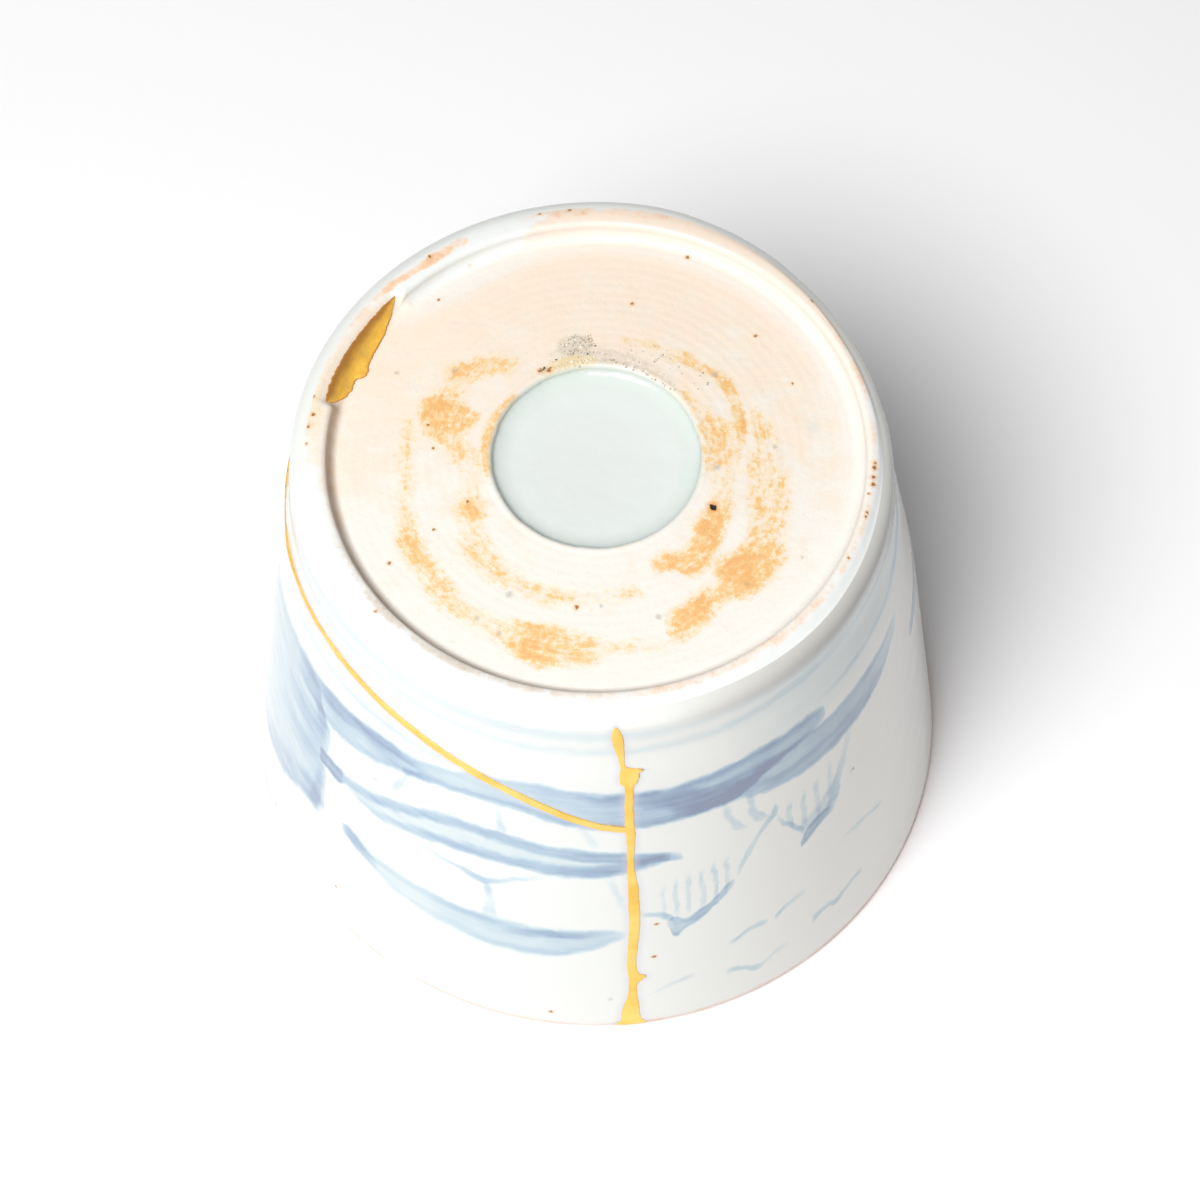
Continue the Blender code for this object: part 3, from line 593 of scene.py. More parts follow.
    {"soft": 0.8, "points": [(21.4, 7.8, 0.4, 0.0), (22.6, 7.6, 0.5, 0.17), (25, 6.8, 0.45, 0.15),
                             (27, 5.7, 0.5, 0.15), (29, 6.2, 0.3, 0.08), (32, 7.2, 0.4, 0.06),
                             (34, 7.0, 0.2, 0.0)]},
    {"soft": 0.9, "points": [(7.6, 6.9, 0.2, 0.0), (10, 7.8, 0.3, 0.05), (13, 8.8, 0.3, 0.08),
                             (15.6, 9.3, 0.4, 0.07), (16.4, 9.4, 0.2, 0.0)]},
]

# Hatching: upright lines, so many degrees apart, inside an area given as a stroke
hatching = [
    {"spacing": 2.3, "first": 13.3, "soft": 2.4,
     "points": [(9.8, 26.6, 2.0, 0.0), (11.5, 26.6, 2.8, 0.08), (17, 26.9, 3.6, 0.10), (22, 28.0, 3.2, 0.10),
                (24, 28.6, 1.0, 0.0)]},
    {"spacing": 3.1, "first": 35.2, "soft": 2.0,
     "points": [(33.4, 34.5, 1.0, 0.0), (35, 33.6, 2.2, 0.10), (38.3, 32.6, 3.2, 0.11), (41.5, 32.8, 3.4, 0.11),
                (45, 34.4, 2.8, 0.09), (47, 35.4, 1.0, 0.0)]},
]

# The back isn't seen in the photo: the same shores and ripples run on, plainer.
# Angles here are counted from the back.
backBrushwork = [
    {"soft": 0.8, "points": [(-104, 35.6, 0.6, 0.0), (-100, 36.0, 1.2, 0.42), (-82, 37.6, 1.7, 0.28),
                             (-56, 38.8, 2.4, 0.32), (-30, 38.0, 2.3, 0.38), (-10, 37.2, 1.5, 0.32),
                             (2, 36.8, 0.4, 0.0)]},
    {"soft": 0.7, "points": [(-80, 27.0, 0.4, 0.0), (-76, 27.2, 0.9, 0.46), (-62, 27.6, 1.6, 0.24),
                             (-44, 27.4, 1.8, 0.20), (-26, 26.8, 1.4, 0.26), (-12, 26.4, 0.4, 0.0)]},
    {"soft": 0.8, "points": [(-24, 45.4, 0.5, 0.0), (-12, 46.0, 1.6, 0.34), (8, 46.2, 2.5, 0.36),
                             (30, 45.2, 2.8, 0.34), (52, 44.0, 2.2, 0.30), (72, 43.0, 1.8, 0.26),
                             (90, 42.0, 1.4, 0.20), (98, 41.0, 0.6, 0.0)]},
    {"soft": 0.8, "points": [(12, 32.0, 0.4, 0.0), (18, 32.0, 1.0, 0.42), (32, 31.0, 1.8, 0.22),
                             (48, 29.8, 1.5, 0.22), (60, 29.4, 0.4, 0.0)]},
    {"soft": 0.5, "points": [(-40, 14.0, 0.2, 0.0), (-38, 14.3, 0.3, 0.20), (-33, 15.0, 0.3, 0.16),
                             (-28, 14.9, 0.2, 0.0)]},
    {"soft": 0.5, "points": [(-2, 18.6, 0.2, 0.0), (0, 18.4, 0.4, 0.22), (6, 17.6, 0.3, 0.16),
                             (11, 18.0, 0.2, 0.0)]},
    {"soft": 0.5, "points": [(24, 10.6, 0.2, 0.0), (26, 10.9, 0.4, 0.20), (31, 10.4, 0.3, 0.16),
                             (38, 11.0, 0.2, 0.0)]},
]

# Iron stains on the bare ring, as strokes along the angle with the radius across
stains = [
    {"soft": 2.2, "points": [(-150, 14.8, 0.8, 0.0), (-143, 14.8, 1.3, 0.54), (-134, 16.0, 1.8, 0.74),
                             (-127, 17.0, 1.8, 0.72), (-121, 17.4, 1.5, 0.46), (-115, 16.6, 2.4, 0.64),
                             (-110, 16.5, 3.2, 0.86), (-103, 16.3, 2.6, 0.76), (-97, 15.0, 2.2, 0.50),
                             (-92.5, 13.4, 1.8, 0.62), (-84, 13.2, 1.5, 0.42), (-72, 14.0, 1.4, 0.48),
                             (-64, 14.6, 1.5, 0.64), (-54, 15.6, 1.6, 0.50), (-46, 16.4, 1.6, 0.46),
                             (-38, 17.0, 1.3, 0.52), (-30, 17.1, 1.0, 0.42), (-21, 17.3, 1.0, 0.74),
                             (-12, 17.0, 0.9, 0.62), (-6, 16.8, 0.7, 0.44), (3, 16.6, 0.6, 0.20),
                             (11, 16.6, 0.6, 0.60), (16, 16.6, 0.5, 0.0)]},
    {"soft": 0.9, "points": [(-134, 11.0, 0.3, 0.0), (-126, 11.2, 0.5, 0.76), (-112, 11.5, 0.7, 0.70),
                             (-100, 11.6, 0.7, 0.74), (-90, 11.6, 0.6, 0.76), (-81, 11.4, 0.5, 0.62),
                             (-76, 11.4, 0.3, 0.0)]},
    {"soft": 1.8, "points": [(-106, 20.2, 0.4, 0.0), (-100, 20.0, 0.7, 0.48), (-86, 19.9, 0.8, 0.50),
                             (-76, 20.6, 1.0, 0.52), (-68, 21.3, 1.2, 0.62), (-63, 21.9, 1.4, 0.72),
                             (-55, 22.0, 1.2, 0.60), (-47, 22.2, 1.3, 0.74), (-40, 22.6, 1.2, 0.60),
                             (-30, 22.6, 1.2, 0.42), (-22, 22.6, 1.7, 0.66), (-14, 22.8, 2.4, 0.84),
                             (-9, 22.6, 2.0, 0.66), (-4, 22.8, 1.8, 0.72), (1, 22.8, 1.2, 0.44),
                             (8, 22.6, 0.6, 0.38), (14, 23.2, 0.8, 0.38), (19, 22.6, 0.8, 0.0)]},
    {"soft": 2.2, "points": [(18, 22.4, 0.8, 0.0), (23, 21.6, 1.6, 0.74), (29, 21.0, 1.6, 0.76),
                             (35, 20.4, 1.3, 0.70), (41, 20.4, 2.2, 0.80), (48, 20.5, 2.6, 0.88),
                             (55, 20.7, 2.4, 0.80), (61, 19.8, 2.2, 0.60), (68, 19.4, 2.2, 0.54),
                             (78, 18.0, 2.4, 0.48), (88, 17.2, 2.0, 0.42), (98, 17.5, 1.2, 0.54),
                             (108, 17.4, 0.8, 0.36), (118, 17.2, 0.5, 0.0)]},
    {"soft": 1.8, "points": [(22, 14.4, 0.6, 0.0), (28, 14.5, 1.2, 0.60), (37, 16.0, 1.8, 0.72),
                             (44, 15.6, 1.7, 0.66), (50, 15.0, 1.7, 0.78), (57, 14.5, 1.6, 0.76),
                             (63, 14.3, 1.5, 0.66), (70, 13.6, 1.6, 0.46), (78, 13.0, 1.6, 0.38),
                             (88, 12.6, 2.0, 0.60), (98, 12.6, 2.2, 0.72), (106, 12.5, 2.0, 0.62),
                             (113, 12.3, 1.4, 0.46), (124, 12.0, 0.8, 0.30), (136, 11.6, 0.5, 0.0)]},
    {"soft": 1.0, "points": [(76, 14.8, 0.5, 0.0), (86, 14.4, 0.7, 0.48), (94, 15.2, 0.7, 0.60),
                             (102, 15.6, 0.8, 0.72), (114, 16.0, 0.8, 0.62), (126, 16.2, 0.8, 0.72),
                             (134, 15.6, 0.7, 0.56), (142, 15.2, 1.1, 0.74), (148, 14.8, 0.8, 0.42),
                             (160, 14.8, 0.7, 0.38), (170, 14.6, 0.5, 0.0)]},
]

# How far out the clay was wiped bare: angle and radius
wipeEdge = [(-180, 30.5), (-173, 30.2), (-168, 29.0), (-160, 27.6), (-148, 27.2), (-138, 27.4), (-131, 29.6),
            (-118, 30.3), (-104, 30.5), (-95, 30.6), (-90, 30.0), (-84, 28.8), (-60, 28.6), (0, 28.6),
            (40, 28.7), (60, 28.9), (80, 29.0), (100, 29.1), (115, 29.4), (125, 30.0), (134, 30.8), (142, 31.2),
            (150, 31.0), (165, 30.7), (180, 30.5)]

# Blush, dirt and painted shade at that edge, as strokes with a pale, a middle and a deep hue
blushAndShade = [
    {"soft": 0.8, "hues": ("#F0E2D4", "#EDCFB4", "#DEA87A"),
     "points": [(-180, 30.2, 0.9, 0.40), (-174, 30.2, 0.9, 0.45), (-168, 30.3, 0.6, 0.30), (-162, 30.4, 0.4, 0.0)]},
    {"soft": 0.7, "hues": ("#F0DCCA", "#F4C496", "#E2A266"),
     "points": [(-153, 29.8, 0.3, 0.0), (-149, 29.7, 0.6, 0.50), (-145, 29.6, 0.6, 0.60), (-139, 29.6, 0.5, 0.60),
                (-134, 29.9, 0.4, 0.55), (-125, 30.3, 0.3, 0.36), (-110, 30.5, 0.3, 0.30), (-105, 30.4, 0.3, 0.0)]},
    {"soft": 0.8, "hues": ("#EDE3D2", "#EBDCC2", "#E2B27C"),
     "points": [(-110, 30.4, 0.3, 0.0), (-105, 30.2, 0.9, 0.45), (-97, 30.0, 1.1, 0.55), (-91, 29.8, 0.8, 0.35),
                (-84, 29.6, 0.3, 0.0)]},
    {"soft": 0.7, "hues": ("#F0E2D4", "#EDCFB4", "#DEA87A"),
     "points": [(-30, 28.7, 0.2, 0.0), (0, 28.8, 0.4, 0.34), (30, 28.8, 0.5, 0.38), (50, 28.9, 0.4, 0.36),
                (75, 28.9, 0.3, 0.34), (95, 28.9, 0.3, 0.30), (104, 29.0, 0.4, 0.35), (112, 29.2, 0.45, 0.40),
                (120, 29.4, 0.5, 0.44), (128, 30.0, 0.5, 0.40), (134, 30.7, 0.5, 0.48), (142, 31.1, 0.6, 0.60),
                (148, 30.9, 0.5, 0.30), (156, 30.6, 0.6, 0.22), (166, 30.3, 0.9, 0.34), (180, 30.2, 0.9, 0.40)]},
    # Grey-brown at the near rim's inner edge: partly dirt, partly painted shade where the rim's shadow falls
    {"soft": 0.6, "hues": ("#E4DCD2", "#D8CCBE", "#C8B8A4"),
     "points": [(-75, 28.7, 0.2, 0.0), (-60, 28.8, 0.3, 0.34), (-40, 28.8, 0.35, 0.50), (-20, 28.75, 0.3, 0.46),
                (-5, 28.7, 0.25, 0.30), (10, 28.7, 0.2, 0.0)]},
]

# Whiter clay along the rim's far wall, where the glaze water ran
whiter = [
    {"soft": 1.6, "points": [(40, 27.5, 0.6, 0.0), (70, 27.4, 1.2, 0.6), (110, 27.2, 1.5, 0.7),
                             (150, 27.1, 1.6, 0.7), (180, 27.1, 1.5, 0.55)]},
    {"soft": 1.6, "points": [(-180, 27.1, 1.5, 0.55), (-165, 26.9, 1.8, 0.65), (-150, 26.7, 2.1, 0.80),
                             (-138, 26.8, 1.8, 0.70), (-128, 27.0, 1.0, 0.0)]},
]

# Brown-grey grime and painted shade in the corner between the ring and the rim's wall, strongest on the near left where
# the rim's shadow falls
grimeAndShade = {"soft": 0.9, "points": [(-124, 27.9, 0.2, 0.0), (-108, 27.9, 0.4, 0.55), (-85, 27.9, 0.45, 0.80),
                                 (-55, 27.9, 0.45, 0.80), (-25, 27.8, 0.45, 0.80), (-5, 27.8, 0.4, 0.65),
                                 (15, 27.8, 0.35, 0.45), (36, 27.8, 0.3, 0.0)]}

# Crust of kiln grit at the well's far edge, tan and grey; its angles are counted from the back
crusts = [
    {"soft": 1.0, "hue": "#D2C6B4", "points": [(-50, 11.8, 0.3, 0.0), (-36, 12.0, 0.7, 0.40), (-22, 12.2, 1.0, 0.44),
                                               (-8, 12.2, 1.0, 0.60), (0, 12.6, 1.2, 0.60), (6, 13.6, 1.6, 0.74),
                                               (12, 13.6, 1.6, 0.70), (18, 12.8, 1.2, 0.44), (26, 12.6, 0.6, 0.20),
                                               (33, 12.4, 0.3, 0.0)]},
    {"soft": 0.8, "hue": "#E3CFA6", "points": [(-2, 11.6, 0.4, 0.0), (2, 11.6, 0.7, 0.66), (12, 11.6, 1.0, 0.90),
                                               (24, 11.6, 0.8, 0.76), (30, 11.5, 0.5, 0.0)]},
]

# Specks: angle, radius, height, size, all in degrees and millimetres
specks = {
    "iron": [(9.8, 22.0, 0.30), (9.2, 15.2, 0.30), (-8.0, 3.5, 0.30), (-71.2, 3.1, 0.26), (-49.9, 7.3, 0.22)],
    "foot": [(86, 28.9, 0.26), (84.7, 28.9, 0.30), (82.5, 28.9, 0.32), (80.7, 28.95, 0.30), (78.5, 28.7, 0.20),
             (74, 28.9, 0.24), (73, 28.9, 0.22), (62.5, 28.9, 0.20), (46, 28.2, 0.20), (39, 28.4, 0.18),
             (36, 28.2, 0.22), (-50, 29.4, 0.22), (-151, 27.8, 0.26), (-140, 26.0, 0.18), (168, 19.4, 0.26),
             (158, 27.0, 0.26), (-103, 18.1, 0.20), (-60, 24.7, 0.24), (-7, 18.0, 0.28), (-68, 14.4, 0.24),
             (-151, 12.0, 0.30), (-155, 11.6, 0.34), (-94, 17.1, 0.20), (-99, 29.9, 0.24), (-96, 30.2, 0.22),
             (-103, 30.4, 0.24), (-92, 30.2, 0.2), (105, 28.0, 0.26), (-63, 18.9, 0.18), (131, 22.6, 0.2),
             (113, 22.6, 0.18), (-144, 30.0, 0.26), (-169, 30.4, 0.24), (-175, 30.3, 0.24), (128, 29.4, 0.22)],
    "grey": [(-29, 18.6, 0.42), (83, 12.6, 0.42), (-33, 22.6, 0.32), (-26, 23.0, 0.3), (128, 16.0, 0.4),
             (-117, 23.6, 0.26), (-126, 18.4, 0.30), (45, 21.6, 0.26), (1, 17.7, 0.22), (150, 14.2, 0.26),
             (18, 20.0, 0.36), (93, 18.7, 0.26), (60, 24.3, 0.22)],
    "wall": [(1.8, 6.8, 0.34), (-42.5, 37.0, 0.40)],
    "pit": (50.7, 31.6, 0.24),
    "char": (62, 13.6, 0.42),
    "dot": (98.5, 23.0, 0.9),
}


def wallPlaces(tree):
    # Where a point of the cup is, in the potter's terms: angle, radius and height in degrees and mm
    where = add(tree, "TexCoord", out=3)
    inMm = add(tree, "VectorMath.SCALE", where, inputs={"Scale": 1 / mm})
    split = add(tree, "SeparateXYZ", inMm).node.outputs
    share = add(tree, "Math.POWER", add(tree, "Math.DIVIDE", split[2], cupHeight), 2.0)
    x = add(tree, "Math.MULTIPLY_ADD", share, -cup["footOffCentre"], split[0])
    away = add(tree, "Math.MULTIPLY", split[1], -1.0)
    angle = add(tree, "Math.DEGREES", add(tree, "Math.ARCTAN2", x, away))
    behind = add(tree, "Math.DEGREES", add(tree, "Math.ARCTAN2", add(tree, "Math.MULTIPLY", x, -1.0), split[1]))
    squares = add(tree, "Math.MULTIPLY", split[1], split[1])
    squares = add(tree, "Math.MULTIPLY_ADD", x, x, squares)
    radius = add(tree, "Math.SQRT", squares)
    return {"mm": inMm, "angle": angle, "behind": behind, "radius": radius, "height": split[2]}


def brushStroke(tree, along, across, stroke, pool=0.35):
    # How dark one stroke is at a place: full inside, soft at its edge, with the wash pooled there
    points = stroke["points"]
    start = points[0][0]
    length = points[-1][0] - start
    low = min(p[1] for p in points)
    spread = max(max(p[1] for p in points) - low, 0.01)
    widest = max(p[2] for p in points)
    share = add(tree, "MapRange", along, start, start + length)
    places = [[((p[0] - start) / length, (p[1] - low) / spread) for p in points],
              [((p[0] - start) / length, p[2] / widest) for p in points],
              [((p[0] - start) / length, p[3]) for p in points]]
    split = add(tree, "SeparateColor", add(tree, "RGBCurve", 1.0, share, curves=places)).node.outputs
    middle = add(tree, "Math.MULTIPLY_ADD", split[0], spread, low)
    aside = add(tree, "Math.ABSOLUTE", add(tree, "Math.SUBTRACT", across, middle))
    reach = add(tree, "Math.MULTIPLY", split[1], widest)
    soft = stroke["soft"] / 2
    edge = add(tree, "Math.SUBTRACT", reach, aside)
    inside = add(tree, "MapRange", edge, -soft, soft, interpolation_type="SMOOTHSTEP")
    wash = add(tree, "Math.MULTIPLY", inside, split[2])
    if not pool:
        return wash
    pooled = add(tree, "MapRange", edge, 0.0, soft * 2.5, 1.0 + pool, 1.0 - pool / 3)
    return add(tree, "Math.MULTIPLY", wash, pooled)


def uneven(tree, value, noise, amount):
    # Adds a noise, centred on nought, to a value
    return add(tree, "Math.MULTIPLY_ADD", add(tree, "Math.SUBTRACT", noise, 0.5), amount, value)


def nearest(tree, where, places):
    # Distance to the nearest of some spots, as a share of that spot's size
    found = None
    for turn, wide, high, size in places:
        away = add(tree, "VectorMath.DISTANCE", where, place(turn, wide, high) / mm, out=1)
        away = add(tree, "Math.DIVIDE", away, size)
        found = away if found is None else add(tree, "Math.MINIMUM", found, away)
    return found


def mixColour(tree, factor, below, above):
    return add(tree, "Mix", factor, inputs={6: below, 7: above}, out=2, data_type="RGBA")


def cobaltInk(tree, at):
    # How much cobalt lies at each place of the wall
    warp = add(tree, "TexNoise", at["mm"], inputs={"Scale": 1 / painting["warpGrain"], "Detail": 3.0}, out=1)
    warp = add(tree, "VectorMath.SUBTRACT", warp, (0.5, 0.5, 0.5))
    warp = add(tree, "VectorMath.SCALE", warp, inputs={"Scale": painting["warp"] * 4})
    shift = add(tree, "SeparateXYZ", warp).node.outputs
    height = add(tree, "Math.ADD", at["height"], shift[2])
    angle = add(tree, "Math.MULTIPLY_ADD", shift[0], 1.5, at["angle"])
    behind = add(tree, "Math.MULTIPLY_ADD", shift[0], 1.5, at["behind"])
    ink = None
    for stroke in brushwork:
        upright = stroke.get("upright")
        wash = brushStroke(tree, height if upright else angle, angle if upright else height, stroke)
        ink = wash if ink is None else add(tree, "Math.ADD", ink, wash)
    for area in hatching:
        turn = add(tree, "Math.SUBTRACT", angle, area["first"])
        turn = add(tree, "Math.MULTIPLY", turn, math.tau / area["spacing"])
        line = add(tree, "MapRange", add(tree, "Math.COSINE", turn), -0.2, 0.9, interpolation_type="SMOOTHSTEP")
        wash = brushStroke(tree, angle, height, area)
        ink = add(tree, "Math.MULTIPLY_ADD", wash, line, ink)
    for stroke in backBrushwork:
        ink = add(tree, "Math.ADD", ink, brushStroke(tree, behind, height, stroke))
    # The wash is a little stronger on the left
    ink = add(tree, "Math.MULTIPLY", ink, add(
        tree, "Math.MINIMUM", add(tree, "MapRange", at["angle"], -90.0, -10.0, 1.22, 1.0),
        add(tree, "MapRange", at["angle"], -178.0, -110.0, 1.0, 1.22)))
    # Cloudy and faintly streaked along the brush's way
    clouds = add(tree, "TexNoise", at["mm"], inputs={"Scale": 1 / painting["mottle"], "Detail": 4.0})
    drawn = add(tree, "VectorMath.MULTIPLY", at["mm"], (0.09, 0.09, 0.9))
    drawn = add(tree, "TexNoise", drawn, inputs={"Scale": 1.0, "Detail": 3.0})
    cloudy = add(tree, "MapRange", clouds, 0.3, 0.7, 0.84, 1.14)
    ink = add(tree, "Math.MULTIPLY", ink, cloudy)
    return add(tree, "Math.MULTIPLY", ink, add(tree, "MapRange", drawn, 0.3, 0.7, 0.80, 1.20))


def strayed(tree, at):
    # Places pushed about a little, so that spots aren't round
    stray = add(tree, "TexNoise", at["mm"], inputs={"Scale": 2.4, "Detail": 2.0}, out=1)
    stray = add(tree, "VectorMath.SUBTRACT", stray, (0.5, 0.5, 0.5))
    return add(tree, "VectorMath.ADD", at["mm"], add(tree, "VectorMath.SCALE", stray, inputs={"Scale": 0.5}))


def ironSpecks(tree, away, skin):
    # A small brown spot of iron with a faint orange halo
    halo = add(tree, "MapRange", away, 2.0, 0.8, 0.0, 0.45, interpolation_type="SMOOTHSTEP")
    skin = mixColour(tree, halo, skin, colour("#E0AC6C"))
    spot = add(tree, "MapRange", away, 1.0, 0.4, 0.0, 0.95, interpolation_type="SMOOTHSTEP")
    return mixColour(tree, spot, skin, colour("#A0601F"))


def wipedLip(tree, at, skin):
    # Pinkish brown round the lip, where the glaze was wiped off
    cloud = add(tree, "TexNoise", at["mm"], inputs={"Scale": 0.32, "Detail": 3.0, "Roughness": 0.55})
    lip = add(tree, "MapRange", at["height"], 1.7, 0.8, interpolation_type="SMOOTHSTEP")
    lip = add(tree, "Math.MULTIPLY", lip, add(tree, "MapRange", cloud, 0.3, 0.7, 0.25, 0.9))
    return mixColour(tree, lip, skin, colour("#D9A27C"))


def ceramic(made, tree, skin, rough, relief):
    bump = add(tree, "Bump", inputs={"Strength": 1.0, "Distance": 1.0, "Height": relief})
    shader = add(tree, "BsdfPrincipled", inputs={
        "Base Color": skin, "Roughness": rough, "Normal": bump, "IOR": 1.5})
    tree.links.new(shader, tree.nodes.new("ShaderNodeOutputMaterial").inputs[0])
    print(made.name, "has", len(tree.nodes), "nodes")
    return made


def paintedGlaze():
    # Glazed porcelain: a hard, wet-looking bluish white skin over cobalt washes
    made, tree = newMaterial("glazed porcelain with cobalt")
    at = wallPlaces(tree)
    ink = cobaltInk(tree, at)
    skin = add(tree, "ValToRGB", ink, stops=(
        (0.0, "#EAECEA"), (0.72, "#8491AE"), (0.05, "#E0E7E8"), (0.14, "#C9D8E0"), (0.26, "#B1C6D6"),
        (0.40, "#9BB2C9"), (0.54, "#8DA0BC")))
    # Painted shade: the right side, turned away from the key light, is made a little darker, greyer and warmer
    rightShade = add(tree, "Math.MINIMUM", add(tree, "MapRange", at["angle"], -10.0, 45.0, interpolation_type="SMOOTHSTEP"),
               add(tree, "MapRange", at["angle"], 178.0, 120.0, interpolation_type="SMOOTHSTEP"))
    rightShade = mixColour(tree, rightShade, colour("#FBFBF9"), colour("#F2EFEB"))
    skin = add(tree, "Mix", 1.0, inputs={6: skin, 7: rightShade}, out=2, data_type="RGBA", blend_type="MULTIPLY")
    # Painted shade: greyer under the worn right side of the foot, where it turns away from the light
    footShade = brushStroke(tree, at["angle"], at["height"], {"soft": 2.2, "points": [
        (12, 60.4, 0.8, 0.0), (35, 60.2, 1.1, 0.60), (55, 60.0, 1.2, 0.80), (80, 59.8, 1.2, 0.60),
        (100, 59.6, 1.0, 0.28), (122, 59.6, 0.8, 0.0)]}, pool=0.0)
    skin = mixColour(tree, footShade, skin, colour("#A7A39F"))
    # Lacquer has crept a little into the glaze beside the gold
    upright = [(z, (left + right) / 2, (right - left) / 2 + 0.7, 0.45)
               for z, left, right in reversed(uprightEdges)]
    upright = [(0.2, 5.2, 1.0, 0.0)] + upright + [(61.3, 2.9, 0.5, 0.0)]
    side = [(a, z, reach + 0.35, 0.45) for a, z, reach in reversed(sideMiddle) if a > -80]
    side = [(-84.0, 51.7, 0.8, 0.0)] + side + [(7.0, 41.4, 0.8, 0.0)]
    halo = add(tree, "Math.MAXIMUM",
               brushStroke(tree, at["height"], at["angle"], {"soft": 1.8, "points": upright}, pool=0.0),
               brushStroke(tree, at["angle"], at["height"], {"soft": 1.0, "points": side}, pool=0.0))
    skin = mixColour(tree, halo, skin, colour("#CBC8DB"))
    skin = wipedLip(tree, at, skin)
    moved = strayed(tree, at)
    skin = ironSpecks(tree, nearest(tree, moved, [(a, wallRadius(z), z, size) for a, z, size in specks["iron"]]), skin)
    grey = nearest(tree, moved, [(a, wallRadius(z), z, size) for a, z, size in specks["wall"]])
    skin = mixColour(tree, add(tree, "MapRange", grey, 1.4, 0.4, 0.0, 0.45), skin, colour("#B9B4AA"))
    turn, high, size = specks["pit"]
    pit = nearest(tree, moved, [(turn, wallRadius(high), high, size)])
    skin = mixColour(tree, add(tree, "MapRange", pit, 1.1, 0.5), skin, colour("#5E5A58"))
    swell = add(tree, "TexNoise", at["mm"], inputs={"Scale": 0.16, "Detail": 1.0})
    relief = add(tree, "Math.MULTIPLY", swell, 0.00006)
    relief = add(tree, "Math.ADD", relief, add(tree, "MapRange", pit, 0.4, 2.4, 0.0, 0.00012))
    return ceramic(made, tree, skin, 0.12, relief)


def plainGlaze():
    # The same glaze in the hollow, unpainted
    made, tree = newMaterial("glazed porcelain")
    at = wallPlaces(tree)
    cloud = add(tree, "TexNoise", at["mm"], inputs={"Scale": 0.2, "Detail": 3.0})
    skin = add(tree, "ValToRGB", cloud, stops=((0.3, "#E3E8E8"), (0.7, "#ECEEEC")))
    skin = wipedLip(tree, at, skin)
    pinholes = add(tree, "TexVoronoi", at["mm"], inputs={"Scale": 0.11, "Randomness": 1.0})
    skin = mixColour(tree, add(tree, "MapRange", pinholes, 0.030, 0.012), skin, colour("#8A6A48"))
    swell = add(tree, "TexNoise", at["mm"], inputs={"Scale": 0.16, "Detail": 1.0})
    return ceramic(made, tree, skin, 0.12, add(tree, "Math.MULTIPLY", swell, 0.00006))


